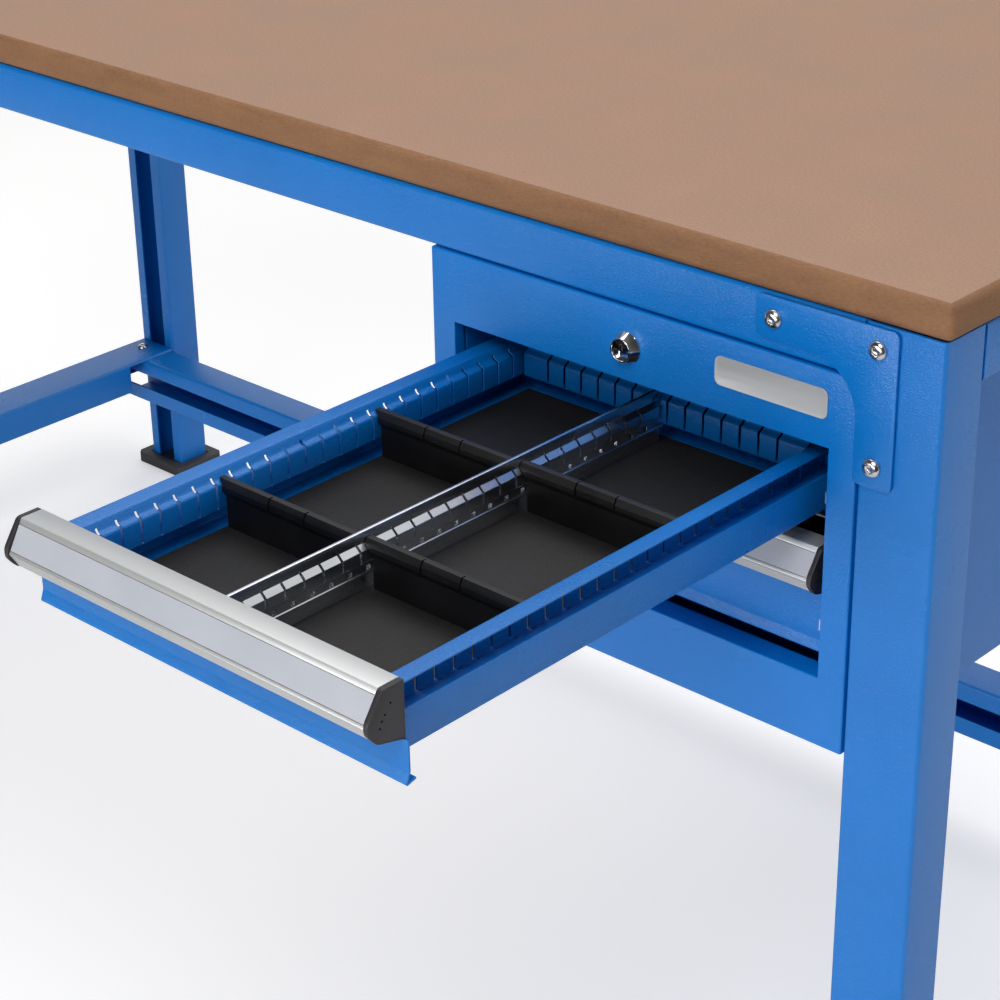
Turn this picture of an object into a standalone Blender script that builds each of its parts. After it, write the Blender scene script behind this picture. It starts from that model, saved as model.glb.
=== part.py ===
"""Steel workbench with a wood-fibre top and a two-drawer cabinet hung under its right end.

X runs along the bench, -Y is the front, Z is up and the floor is Z = 0. The upper
drawer stands open and the lower one is shut, and the origin lies on the floor under
the middle of the whole box.
"""
import math

import bmesh
import bpy
from mathutils import Matrix, Vector

mm = 0.001

# Gap left between two pieces that rest on or are bolted to each other
fit_gap = 0.3 * mm

# Bench frame and top
frame_length = 1680 * mm
frame_depth = 750 * mm
bench_height = 875 * mm
top_thickness = 25 * mm
top_overhang_ends = 3 * mm
top_overhang_front = 1 * mm
top_edge_round = 3 * mm

# Legs, folded to a C with its slot towards the inside of the bench
leg_width = 60 * mm
leg_depth = 45 * mm
leg_lip = 15 * mm
leg_sheet = 2.5 * mm
frame_bend_radius = 2.5 * mm

# Black feet that the legs stand in
foot_width = 90 * mm
foot_depth = 75 * mm
foot_height = 14 * mm
foot_base = 5 * mm
foot_chamfer = 6 * mm
foot_play = 1.5 * mm

# Rails under the top and stretchers near the floor
rail_width = 60 * mm
rail_height = 40 * mm
rail_lip = 10 * mm
stretcher_lip = 14 * mm
rear_stretcher_height = 60 * mm
rear_stretcher_depth = 45 * mm
rear_stretcher_lip = 20 * mm
rail_sheet = 2.5 * mm
stretcher_top = 180 * mm
stretcher_overlap = 50 * mm
stretcher_notch_gap = 1.5 * mm
stretcher_notch_ahead = 27 * mm

# Corner plates and the button-head screws of the frame
gusset_size = 110 * mm
gusset_arm = 29.5 * mm
gusset_fillet = 37 * mm
gusset_corner = 5 * mm
gusset_sheet = 2.5 * mm
gusset_below_top = 1.5 * mm
gusset_on_leg = 27.5 * mm
screw_head_radius = 6.75 * mm
screw_head_height = 4 * mm
screw_rim_height = 0.8 * mm
screw_shoulder_radius = 4.7 * mm
screw_shoulder_height = 3.4 * mm
screw_socket_radius = 2.6 * mm
screw_socket_depth = 2 * mm
screw_shank_radius = 4 * mm
screw_shank_length = 16 * mm
screw_hole_play = 0.4 * mm
screw_steps = 10
stretcher_bolt_inset = 35 * mm
stretcher_bolt_from_leg = 21 * mm

# Cabinet body and its front frame
cabinet_width = 375 * mm
cabinet_depth = 500 * mm
cabinet_sheet = 1.2 * mm
cabinet_to_leg = 1.5 * mm
cabinet_to_rail = 1.5 * mm
fascia_height = 54 * mm
sill_height = 53 * mm
stile_width = 21.75 * mm
opening_return = 10 * mm
sill_return = 18 * mm
rim_overlap = 0.5 * mm
hanger_width = 40 * mm
hanger_lip = 10 * mm
hanger_overlap = 5 * mm
hanger_from_side = 25 * mm
hanger_start = 70 * mm
hanger_end = 10 * mm

# Uprights inside the cabinet that carry the slides
upright_recess = 13 * mm
upright_length = 470 * mm
upright_sheet = 1.2 * mm

# Drawers
drawer_travel = 406 * mm
front_recess = 23 * mm
top_gap = 3.7 * mm
drawer_gap = 7.4 * mm
sill_gap = 5.2 * mm
upper_front_height = 66.5 * mm
lower_front_height = 87.2 * mm
front_side_gap = 3 * mm
front_sheet = 1.2 * mm
front_below_tray = 11.2 * mm
lip_height = 7.5 * mm
lip_forward = 2.7 * mm
lip_hem = 7.5 * mm
lip_hem_rise = 1.9 * mm

# Drawer tray, folded from one sheet, with a slotted upper wall all round
tray_below_handle_top = 11.3 * mm
tray_side_gap = 17.3 * mm
tray_length = 433 * mm
tray_sheet = 1.0 * mm
tray_flange = 10 * mm
tray_band = 6.5 * mm
tray_jog = 4 * mm
tray_jog_height = 2.1 * mm
tray_slotted_inset = 20 * mm
tray_slotted_height = 24.5 * mm
tray_ledge_rise = 5 * mm
tray_front_wall = 14 * mm
rear_wall_gap = 2.4 * mm
slot_pitch = 15.85 * mm
slot_width = 2.1 * mm
slot_below_rim = 4 * mm
slot_depth = 7 * mm
slot_above_fold = 1.5 * mm
first_slot = 22.7 * mm

# Mat, centre divider and cross dividers
mat_thickness = 2.4 * mm
mat_side_gap = 17 * mm
mat_rear_gap = 10 * mm
mat_front_gap = 2 * mm
divider_sheet = 0.8 * mm
divider_half_width = 0.9 * mm
divider_jog = 3.6 * mm
divider_band = 8 * mm
divider_jog_height = 3.5 * mm
divider_bulge_height = 16 * mm
divider_return = 2 * mm
divider_end_gap = 0.5 * mm
divider_slot_height = 9 * mm
cross_plate = 2.4 * mm
cross_bead_width = 9 * mm
cross_bead_height = 8 * mm
cross_below_rim = 4.5 * mm
cross_ear = 4 * mm
front_divider_steps = 6
rear_divider_steps = 15
cross_offset_left = 8 * mm
cross_offset_right = 10.5 * mm
label_notch_length = 32 * mm
label_notch_depth = 3 * mm

# Aluminium handle rail, its label strip and its end caps
handle_end_gap = 2.5 * mm
handle_wall = 2.6 * mm
handle_reach = 28.5 * mm
handle_top_reach = 17 * mm
handle_round = 2.9 * mm
handle_height = 38 * mm
handle_nose_drop = 21.5 * mm
handle_lip_drop = 11.5 * mm
handle_lip_back = 6.5 * mm
cap_thickness = 4 * mm
cap_proud = 0.6 * mm
cap_round = 6 * mm
cap_nose_above = 3.5 * mm
cap_nose_below = 3 * mm
label_thickness = 0.8 * mm
label_recess = 1.2 * mm
label_top_margin = 4 * mm
label_margin = 2.2 * mm

# Telescopic slides, lying flat under each edge of a tray
slide_sheet = 1.2 * mm
slide_play = 0.5 * mm
slide_inset = 16 * mm
slide_inner_width = 26 * mm
slide_above_lip = 0.3 * mm
slide_flange_rise = 27 * mm
slide_flange_recess = 1.5 * mm
slide_tongue_height = 8 * mm
slide_tongue_length = 10 * mm
slide_behind_hem = 3 * mm
slide_step = 4 * mm
slide_short_of_tray = 28 * mm

# Cam lock in the middle of the fascia
lock_below_top = 29.5 * mm
lock_off_middle = -3 * mm
collar_radius = 12 * mm
collar_front_radius = 8.4 * mm
collar_edge = 0.8 * mm
collar_length = 7.5 * mm
lock_body_radius = 9.5 * mm
lock_body_length = 22 * mm
barrel_radius = 6.8 * mm
barrel_play = 0.2 * mm
barrel_recess = 1 * mm
keyway_width = 2 * mm
keyway_height = 8 * mm
keyway_depth = 6 * mm
stud_radius = 3 * mm
cam_thickness = 3 * mm
cam_width = 12 * mm
cam_reach = 35 * mm
cam_behind_front = 0.6 * mm

# Bare nameplate on the fascia
plate_width = 91 * mm
plate_height = 21 * mm
plate_thickness = 1 * mm
plate_corner = 5 * mm
plate_from_right = 23 * mm
plate_below_top = 23.5 * mm

round_steps = 20

# Places that follow from the sizes above
front_y = -frame_depth / 2
top_underside = bench_height - top_thickness
rail_bottom = top_underside - rail_height
cabinet_top = rail_bottom - cabinet_to_rail
cabinet_right = frame_length / 2 - leg_width - cabinet_to_leg
cabinet_x = cabinet_right - cabinet_width / 2
opening_half = cabinet_width / 2 - stile_width
opening_top = cabinet_top - fascia_height
upper_handle_top = opening_top - top_gap
lower_handle_top = upper_handle_top - upper_front_height - drawer_gap
opening_bottom = lower_handle_top - lower_front_height - sill_gap
cabinet_bottom = opening_bottom - sill_height
shut_y = front_y + front_recess
open_y = shut_y - drawer_travel
tray_half = opening_half - tray_side_gap
slotted_half = tray_half - tray_slotted_inset
cap_outer = opening_half - front_side_gap - handle_end_gap
slide_length = tray_length - slide_short_of_tray
slot_count = int((tray_length - first_slot - tray_slotted_inset) / slot_pitch) + 1


def clear_scene():
    for old in list(bpy.data.objects):
        bpy.data.objects.remove(old, do_unlink=True)


def material(name, colour, roughness, metallic=0.0):
    made = bpy.data.materials.new(name)
    made.use_nodes = True
    shader = made.node_tree.nodes["Principled BSDF"]
    shader.inputs["Base Color"].default_value = (*colour, 1.0)
    shader.inputs["Roughness"].default_value = roughness
    shader.inputs["Metallic"].default_value = metallic
    return made


def empty(name, place, parent=None):
    made = bpy.data.objects.new(name, None)
    made.location = place
    made.parent = parent
    bpy.context.scene.collection.objects.link(made)
    return made


def finish(name, shape, finish_material, parent, place=(0, 0, 0), turn=0.0, smooth=False):
    """Turn a bmesh into a named object under its parent."""
    bmesh.ops.recalc_face_normals(shape, faces=shape.faces)
    mesh = bpy.data.meshes.new(name)
    shape.to_mesh(mesh)
    shape.free()
    return place_mesh(name, mesh, finish_material, parent, place, turn, smooth)


def place_mesh(name, mesh, finish_material, parent, place=(0, 0, 0), turn=0.0, smooth=False):
    if smooth:
        mesh.shade_smooth()
        mesh.set_sharp_from_angle(angle=math.radians(35))
    made = bpy.data.objects.new(name, mesh)
    if not mesh.materials:
        mesh.materials.append(finish_material)
    made.parent = parent
    made.location = place
    made.rotation_euler = (0, 0, turn)
    bpy.context.scene.collection.objects.link(made)
    return made


def combine(piece, other, operation):
    """Join another object's solids to a piece, or take them out of it; the other one is hidden."""
    other.hide_render = True
    other.display_type = "WIRE"
    step = piece.modifiers.new(other.name, "BOOLEAN")
    step.operation = operation
    step.solver = "EXACT"
    step.object = other


def cut(piece, cutter):
    combine(piece, cutter, "DIFFERENCE")


def join(piece, addition):
    combine(piece, addition, "UNION")


def to_space(axis, along, u, v):
    """A point of an outline (u, v) at a distance along X, Y or Z."""
    if axis == "X":
        return Vector((along, u, v))
    if axis == "Y":
        return Vector((u, along, v))
    return Vector((u, v, along))


def add_prism(shape, outline, axis, start, end):
    """Extrude a closed outline along an axis, as one closed solid."""
    rings = []
    for along in (start, end):
        rings.append([shape.verts.new(to_space(axis, along, u, v)) for u, v in outline])
    count = len(outline)
    for i in range(count):
        j = (i + 1) % count
        shape.faces.new((rings[0][i], rings[0][j], rings[1][j], rings[1][i]))
    shape.faces.new(rings[0])
    shape.faces.new(rings[1])


def prism(outline, axis, start, end):
    shape = bmesh.new()
    add_prism(shape, outline, axis, start, end)
    return shape


def add_box(shape, low, high):
    outline = [(low[0], low[1]), (high[0], low[1]), (high[0], high[1]), (low[0], high[1])]
    add_prism(shape, outline, "Z", low[2], high[2])


def box(low, high):
    shape = bmesh.new()
    add_box(shape, low, high)
    return shape


def rectangle(half_u, half_v, radius, steps=4):
    """Outline of a rectangle about (0, 0) with rounded corners."""
    points = []
    for number, (su, sv) in enumerate(((1, 1), (-1, 1), (-1, -1), (1, -1))):
        for step in range(steps + 1):
            angle = math.radians(90 * number + 90 * step / steps)
            points.append((su * (half_u - radius) + radius * math.cos(angle),
                           sv * (half_v - radius) + radius * math.sin(angle)))
    return points


def rounded_path(path, radius, steps=2):
    """Swap each inner corner of an open path for an arc of the given radius."""
    if radius <= 0:
        return list(path)
    points = [Vector(path[0])]
    for i in range(1, len(path) - 1):
        corner = Vector(path[i])
        back = Vector(path[i - 1]) - corner
        ahead = Vector(path[i + 1]) - corner
        half = back.angle(ahead) / 2
        reach = min(radius / math.tan(half), 0.45 * min(back.length, ahead.length))
        arc_radius = reach * math.tan(half)
        inwards = (back.normalized() + ahead.normalized()).normalized()
        middle = corner + inwards * arc_radius / math.sin(half)
        first = corner + back.normalized() * reach - middle
        last = corner + ahead.normalized() * reach - middle
        sweep = first.angle_signed(last)
        for step in range(steps + 1):
            turned = first.copy()
            turned.rotate(Matrix.Rotation(-sweep * step / steps, 2))
            points.append(middle + turned)
    points.append(Vector(path[-1]))
    return points


def offset_path(path, distance):
    """The same open path moved sideways by a distance, with mitred corners."""
    line = [Vector(point) for point in path]
    moved = []
    for i, point in enumerate(line):
        before = (point - line[i - 1]).normalized() if i > 0 else None
        after = (line[i + 1] - point).normalized() if i < len(line) - 1 else None
        before = before or after
        after = after or before
        normal = Vector((-before.y, before.x))
        miter = (normal + Vector((-after.y, after.x))).normalized()
        moved.append(tuple(point + miter * distance / miter.dot(normal)))
    return moved


def folded(path, sheet, radius=0.0, steps=2):
    """Outline of a sheet folded along an open path that runs in the middle of its thickness."""
    line = rounded_path(path, radius, steps)
    return offset_path(line, sheet / 2) + offset_path(line, -sheet / 2)[::-1]


def c_section(width, depth, lip, sheet, radius):
    """A C about (0, 0): its back at -depth/2, its lips and slot at +depth/2."""
    half_width = (width - sheet) / 2
    half_depth = (depth - sheet) / 2
    lip_end = half_width - lip + sheet / 2
    path = [(-lip_end, half_depth), (-half_width, half_depth), (-half_width, -half_depth),
            (half_width, -half_depth), (half_width, half_depth), (lip_end, half_depth)]
    return folded(path, sheet, radius - sheet / 2)


def add_turned(shape, profile, centre, axis, steps=round_steps):
    """Turn a profile of (radius, along) points round an axis; it is closed on itself."""
    loops = []
    for radius, along in profile:
        if not radius:
            loops.append([shape.verts.new(Vector(centre) + to_space(axis, along, 0, 0))])
            continue
        ring = []
        for step in range(steps):
            angle = 2 * math.pi * step / steps
            offset = to_space(axis, along, radius * math.cos(angle), radius * math.sin(angle))
            ring.append(shape.verts.new(Vector(centre) + offset))
        loops.append(ring)
    for first, second in zip(loops, loops[1:] + loops[:1]):
        if len(first) == 1 and len(second) == 1:
            continue
        for step in range(steps):
            after = (step + 1) % steps
            corners = [first[step % len(first)], first[after % len(first)],
                       second[after % len(second)], second[step % len(second)]]
            unique = list(dict.fromkeys(corners))
            shape.faces.new(unique)


def screw_profile(outwards):
    """Button head with a socket, and its shank; along grows away from the head's seat."""
    points = [(0, screw_head_height - screw_socket_depth),
              (screw_socket_radius, screw_head_height - screw_socket_depth),
              (screw_socket_radius, screw_head_height),
              (screw_shoulder_radius, screw_shoulder_height),
              (screw_head_radius, screw_rim_height),
              (screw_head_radius, 0),
              (screw_shank_radius, 0),
              (screw_shank_radius, -screw_shank_length),
              (0, -screw_shank_length)]
    return [(radius, along * outwards) for radius, along in points]


def corner_place(side, end):
    """Middle of a leg: side is -1 for left and 1 for right, end is -1 for front and 1 for rear."""
    return (side * (frame_length - leg_width) / 2, end * (frame_depth - leg_depth) / 2, 0)


def frame_legs(bench, paint):
    section = c_section(leg_width, leg_depth, leg_lip, leg_sheet, frame_bend_radius)
    shape = prism(section, "Z", foot_base + fit_gap, top_underside - fit_gap)
    first = finish("leg_front_right", shape, paint, bench, corner_place(1, -1), smooth=True)
    legs = {(1, -1): first}
    for name, side, end, turn in (("leg_front_left", -1, -1, 0.0), ("leg_rear_right", 1, 1, math.pi),
                                  ("leg_rear_left", -1, 1, math.pi)):
        legs[(side, end)] = place_mesh(name, first.data, paint, bench, corner_place(side, end), turn)
    return legs


def frame_feet(bench, plastic):
    """Trays with chamfered corners; each leg stands in the pocket of one."""
    half_x = foot_width / 2
    half_y = foot_depth / 2
    outline = []
    for sx, sy in ((1, 1), (-1, 1), (-1, -1), (1, -1)):
        pair = [(sx * half_x, sy * (half_y - foot_chamfer)), (sx * (half_x - foot_chamfer), sy * half_y)]
        outline += pair if sx * sy > 0 else pair[::-1]
    block = prism(outline, "Z", 0, foot_height)
    first = finish("foot_front_right", block, plastic, bench, corner_place(1, -1))
    pocket_x = leg_width / 2 + foot_play
    pocket_y = leg_depth / 2 + foot_play
    hollow = box((-pocket_x, -pocket_y, foot_base), (pocket_x, pocket_y, 2 * foot_height))
    pocket = finish("pocket_front_right", hollow, plastic, bench, corner_place(1, -1))
    cut(first, pocket)
    for name, side, end in (("front_left", -1, -1), ("rear_right", 1, 1), ("rear_left", -1, 1)):
        foot = place_mesh("foot_" + name, first.data, plastic, bench, corner_place(side, end))
        cut(foot, place_mesh("pocket_" + name, pocket.data, plastic, bench, corner_place(side, end)))


def rail_section():
    """The rails' C as (inwards, up) points, its slot towards the inside."""
    section = c_section(rail_height, rail_width, rail_lip, rail_sheet, frame_bend_radius)
    return [(inwards, up) for up, inwards in section]


def frame_rails(bench, paint):
    """Rails under the top, between the legs: the aprons at front and rear, and one at each end."""
    middle = top_underside - fit_gap - rail_height / 2
    reach = frame_length / 2 - leg_width - fit_gap
    aprons = {}
    for name, end in (("front_apron", -1), ("rear_apron", 1)):
        outline = [(-end * inwards, up) for inwards, up in rail_section()]
        place = (0, end * (frame_depth - rail_width) / 2, middle)
        aprons[end] = finish(name, prism(outline, "X", -reach, reach), paint, bench, place, smooth=True)
    side_reach = frame_depth / 2 - leg_depth - fit_gap
    for name, side in (("side_rail_right", 1), ("side_rail_left", -1)):
        outline = [(-side * inwards, up) for inwards, up in rail_section()]
        place = (side * (frame_length - leg_width) / 2, 0, middle)
        finish(name, prism(outline, "Y", -side_reach, side_reach), paint, bench, place, smooth=True)
    return aprons


def screw_group(bench, zinc, name, seats, axis, way):
    """Hidden shapes of the screws at these seats and of the clearance holes that they need."""
    screws = bmesh.new()
    holes = bmesh.new()
    radius = screw_shank_radius + screw_hole_play
    depth = screw_shank_length + fit_gap
    for seat in seats:
        add_turned(screws, screw_profile(way), seat, axis, screw_steps)
        hole = [(0, -depth * way), (radius, -depth * way), (radius, fit_gap * way), (0, fit_gap * way)]
        add_turned(holes, hole, seat, axis, screw_steps)
    return finish("screws_" + name, screws, zinc, bench), finish("holes_" + name, holes, zinc, bench)


def frame_stretchers(bench, paint, zinc):
    """End stretchers with their slot down; the rear one is bolted under their rear ends."""
    section = c_section(leg_width, rail_height, stretcher_lip, rail_sheet, frame_bend_radius)
    outline = [(across, -up) for across, up in section]
    side_reach = frame_depth / 2 - leg_depth - fit_gap
    rear_y = side_reach - rear_stretcher_depth / 2
    rear_z = stretcher_top - rail_sheet - fit_gap - rear_stretcher_height / 2
    rear_reach = frame_length / 2 - leg_width + stretcher_overlap
    rear_section = c_section(rear_stretcher_height, rear_stretcher_depth, rear_stretcher_lip, rail_sheet,
                             frame_bend_radius)
    beam = prism([(-inwards, up) for up, inwards in rear_section], "X", -rear_reach, rear_reach)
    rear = finish("rear_stretcher", beam, paint, bench, (0, rear_y, rear_z), smooth=True)
    bolt_x = frame_length / 2 - leg_width + stretcher_bolt_inset
    bolt_y = side_reach - stretcher_bolt_from_leg
    for name, side in (("right", 1), ("left", -1)):
        place = (side * (frame_length - leg_width) / 2, 0, stretcher_top - rail_height / 2)
        beam = prism(outline, "Y", -side_reach, side_reach)
        stretcher = finish("side_stretcher_" + name, beam, paint, bench, place, smooth=True)
        inner = side * (frame_length / 2 - leg_width - stretcher_notch_gap)
        deep = side * (rear_reach + stretcher_notch_gap)
        ahead = rear_y - rear_stretcher_depth / 2 - stretcher_notch_ahead
        low = (min(inner, deep), ahead, rear_z - rear_stretcher_height)
        high = (max(inner, deep), side_reach + rail_sheet, stretcher_top - rail_sheet - fit_gap / 2)
        cut(stretcher, finish("stretcher_notch_" + name, box(low, high), paint, bench))
        seat = (side * bolt_x, bolt_y, stretcher_top - fit_gap)
        bolt, drill = screw_group(bench, zinc, "stretcher_" + name, [seat], "Z", 1)
        join(stretcher, bolt)
        cut(rear, drill)


def gusset_outline():
    """L-shaped plate about its outer top corner, with a wide curve in the inner corner."""
    points = []

    def arc(centre_u, centre_v, radius, start, sweep, steps):
        for step in range(steps + 1):
            angle = math.radians(start + sweep * step / steps)
            points.append((centre_u + radius * math.cos(angle), centre_v + radius * math.sin(angle)))

    size = gusset_size
    r = gusset_corner
    arc(-r, -r, r, 0, 90, 3)
    arc(-size + r, -r, r, 90, 90, 3)
    arc(-size + r, -gusset_arm + r, r, 180, 90, 3)
    inner = -gusset_arm - gusset_fillet
    arc(inner, inner, gusset_fillet, 90, -90, 6)
    arc(-gusset_arm + r, -size + r, r, 180, 90, 3)
    arc(-r, -size + r, r, 270, 90, 3)
    return points


def frame_gussets(bench, paint, zinc, legs, aprons):
    """Corner plates on the front and rear faces, each with its three screws."""
    top = top_underside - gusset_below_top
    outer = frame_length / 2 - leg_width + gusset_on_leg
    half_arm = gusset_arm / 2
    mesh = None
    for name, side, end in (("front_right", 1, -1), ("front_left", -1, -1), ("rear_right", 1, 1),
                            ("rear_left", -1, 1)):
        face = end * frame_depth / 2
        place = (side * outer, face + end * (fit_gap + gusset_sheet / 2), top)
        turn = 0.0 if side > 0 else math.pi
        if mesh is None:
            plate = prism(gusset_outline(), "Y", -gusset_sheet / 2, gusset_sheet / 2)
            gusset = finish("gusset_" + name, plate, paint, bench, place, turn, smooth=True)
            mesh = gusset.data
        else:
            gusset = place_mesh("gusset_" + name, mesh, paint, bench, place, turn)
        seat_y = face + end * gusset_sheet
        seats = [(side * (outer - across), seat_y, top - down)
                 for across, down in ((half_arm, half_arm), (gusset_size - half_arm, half_arm),
                                      (half_arm, gusset_size - half_arm))]
        screws, drill = screw_group(bench, zinc, "gusset_" + name, seats, "Y", end)
        join(gusset, screws)
        cut(legs[(side, end)], drill)
        cut(aprons[end], drill)


def worktop(bench, board):
    half_x = frame_length / 2 + top_overhang_ends
    half_y = frame_depth / 2 + top_overhang_front
    slab = box((-half_x, -half_y, top_underside), (half_x, half_y, bench_height))
    edges = finish("worktop", slab, board, bench).modifiers.new("edges", "BEVEL")
    edges.width = top_edge_round
    edges.segments = 2
    edges.limit_method = "ANGLE"


def bridged_rings(rings):
    """Join closed rings of points one after the other, and the last to the first."""
    shape = bmesh.new()
    loops = [[shape.verts.new(point) for point in ring] for ring in rings]
    for first, second in zip(loops, loops[1:] + loops[:1]):
        count = len(first)
        for i in range(count):
            j = (i + 1) % count
            shape.faces.new((first[i], first[j], second[j], second[i]))
    return shape


def upright_ring(half_width, low, high, y):
    """Four corners of a rectangle in a plane of constant y, about the cabinet's middle."""
    return [(-half_width, y, low), (half_width, y, low), (half_width, y, high), (-half_width, y, high)]


def cabinet_body(cabinet, paint):
    """Shell closed at the back, and the front frame with its edges turned in round the opening."""
    half = cabinet_width / 2
    sheet = cabinet_sheet
    front = front_y + sheet + fit_gap
    rear = front_y + cabinet_depth
    block = box((-half, front, cabinet_bottom), (half, rear, cabinet_top))
    shell = finish("cabinet_shell", block, paint, cabinet)
    room = box((sheet - half, front - sheet, cabinet_bottom + sheet),
               (half - sheet, rear - sheet, cabinet_top - sheet))
    cut(shell, finish("cabinet_room", room, paint, cabinet))
    rim = (opening_half, opening_bottom, opening_top)
    rim_outside = (opening_half + sheet, opening_bottom - sheet, opening_top + sheet)
    whole = (half, cabinet_bottom, cabinet_top)
    frame = bridged_rings([
        upright_ring(*whole, front_y),
        upright_ring(*rim, front_y),
        upright_ring(*rim, front_y + sheet + opening_return),
        upright_ring(*rim_outside, front_y + sheet + opening_return),
        upright_ring(*rim_outside, front_y + sheet),
        upright_ring(*whole, front_y + sheet)])
    front_frame = finish("cabinet_front_frame", frame, paint, cabinet)
    shelf = box((rim_overlap - opening_half, front_y + sheet, opening_bottom - sheet + fit_gap),
                (opening_half - rim_overlap, front_y + sill_return, opening_bottom - fit_gap))
    join(front_frame, finish("sill_shelf", shelf, paint, cabinet))
    return front_frame


def cabinet_hanger(cabinet, paint):
    """Frame between the cabinet and the worktop: two long rails joined by a cross plate."""
    low = cabinet_top + fit_gap
    high = top_underside - fit_gap
    section = c_section(high - low, hanger_width, hanger_lip, rail_sheet, frame_bend_radius)
    start = front_y + hanger_start
    end = front_y + cabinet_depth - hanger_end
    reach = cabinet_width / 2 - hanger_from_side
    rails = []
    for name, side in (("hanger_frame", -1), ("hanger_right_rail", 1)):
        middle = side * (reach - hanger_width / 2)
        outline = [(middle - side * inwards, up + (low + high) / 2) for up, inwards in section]
        rails.append(finish(name, prism(outline, "Y", start, end), paint, cabinet, smooth=True))
    inset = hanger_width - hanger_overlap
    middle_y = (start + end) / 2
    plate = box((inset - reach, middle_y - hanger_width, low + fit_gap),
                (reach - inset, middle_y + hanger_width, low + fit_gap + rail_sheet / 2))
    join(rails[0], rails[1])
    join(rails[0], finish("hanger_cross_plate", plate, paint, cabinet))


def cabinet_uprights(cabinet, paint):
    """Folded posts behind the stiles; the slides are fixed to their long faces."""
    face = opening_half + upright_sheet / 2
    wall = cabinet_width / 2 - cabinet_sheet - fit_gap
    front = front_y + upright_recess + upright_sheet / 2
    rear = front + upright_length
    path = [(wall, front), (face, front), (face, rear), (wall, rear)]
    low = cabinet_bottom + cabinet_sheet + fit_gap
    high = cabinet_top - cabinet_sheet - fit_gap
    for name, side in (("upright_left", -1), ("upright_right", 1)):
        outline = [(side * x, y) for x, y in folded(path, upright_sheet)]
        finish(name, prism(outline, "Z", low, high), paint, cabinet)


def nameplate(cabinet, alu):
    middle_x = cabinet_width / 2 - plate_from_right - plate_width / 2
    outline = [(u + middle_x, v + cabinet_top - plate_below_top)
               for u, v in rectangle(plate_width / 2, plate_height / 2, plate_corner)]
    face = front_y - fit_gap
    finish("nameplate", prism(outline, "Y", face - plate_thickness, face), alu, cabinet, smooth=True)


def cam_outline():
    """Tongue of the cam, from its round hub about (0, 0) to a rounded tip along +u."""
    half = cam_width / 2
    hub_steps = 8
    points = []
    for step in range(hub_steps + 1):
        angle = math.radians(90 + 180 * step / hub_steps)
        points.append((half * math.cos(angle), half * math.sin(angle)))
    tip = cam_reach - half / 2
    points += [(tip, -half), (cam_reach, -half / 2), (cam_reach, half / 2), (tip, half)]
    return points


def cam_lock(cabinet, bright, zinc, front_frame):
    """Cam lock through the fascia; its barrel turns about the empty on the lock's axis."""
    middle = (lock_off_middle, front_y, cabinet_top - lock_below_top)
    bore = barrel_radius + barrel_play
    behind = cabinet_sheet + fit_gap
    housing = bmesh.new()
    add_turned(housing, [(bore, -collar_length), (collar_front_radius, -collar_length),
                         (collar_radius, -collar_edge), (collar_radius, -fit_gap),
                         (lock_body_radius, -fit_gap), (lock_body_radius, lock_body_length),
                         (bore, lock_body_length)], middle, "Y")
    finish("lock_housing", housing, bright, cabinet, smooth=True)
    hole_radius = lock_body_radius + fit_gap
    hole = bmesh.new()
    add_turned(hole, [(0, -behind), (hole_radius, -behind), (hole_radius, 2 * behind),
                      (0, 2 * behind)], middle, "Y")
    cut(front_frame, finish("lock_hole", hole, zinc, cabinet))
    axis = empty("lock_axis", middle, cabinet)
    cam_front = front_recess + front_sheet + cam_behind_front
    cam_rear = cam_front + cam_thickness
    face = barrel_recess - collar_length
    shoulder = lock_body_length - barrel_recess
    stud_end = cam_rear + stud_radius
    barrel = bmesh.new()
    add_turned(barrel, [(0, face), (barrel_radius, face), (barrel_radius, shoulder),
                        (stud_radius, shoulder), (stud_radius, stud_end), (0, stud_end)], (0, 0, 0), "Y")
    plug = finish("lock_barrel", barrel, bright, axis, smooth=True)
    half_width = keyway_width / 2
    half_height = keyway_height / 2
    keyway = box((-half_width, face - keyway_depth, -half_height),
                 (half_width, face + keyway_depth, half_height))
    cut(plug, finish("keyway", keyway, bright, axis))
    cam = finish("lock_cam", prism(cam_outline(), "Y", cam_front, cam_rear), zinc, axis)
    eye = bmesh.new()
    eye_radius = stud_radius + fit_gap
    add_turned(eye, [(0, cam_front - behind), (eye_radius, cam_front - behind),
                     (eye_radius, cam_rear + behind), (0, cam_rear + behind)], (0, 0, 0), "Y")
    cut(cam, finish("cam_eye", eye, zinc, axis))


def slide_sections():
    """Paths (outwards, up) of the inner, middle and outer members, from the tray's underside."""
    t = slide_sheet
    top = -fit_gap - t / 2
    inner_edge = slide_inner_width / 2 - t / 2
    middle_edge = inner_edge + t + slide_play
    outer_edge = middle_edge + t + slide_play
    outer_base = -front_below_tray + slide_above_lip + t / 2
    middle_base = outer_base + t + slide_play
    inner_bottom = middle_base + t / 2 + slide_play
    centre = tray_half - slide_inset - middle_edge - t / 2
    wall_top = top - t - slide_play
    flange = opening_half - fit_gap - t / 2
    inner = [(centre - inner_edge, inner_bottom), (centre - inner_edge, top),
             (centre + inner_edge, top), (centre + inner_edge, inner_bottom)]
    middle = [(centre - middle_edge, wall_top), (centre - middle_edge, middle_base),
              (centre + middle_edge, middle_base), (centre + middle_edge, wall_top)]
    outer = [(centre - outer_edge, wall_top), (centre - outer_edge, outer_base),
             (flange, outer_base), (flange, slide_flange_rise)]
    return inner, middle, outer


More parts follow.
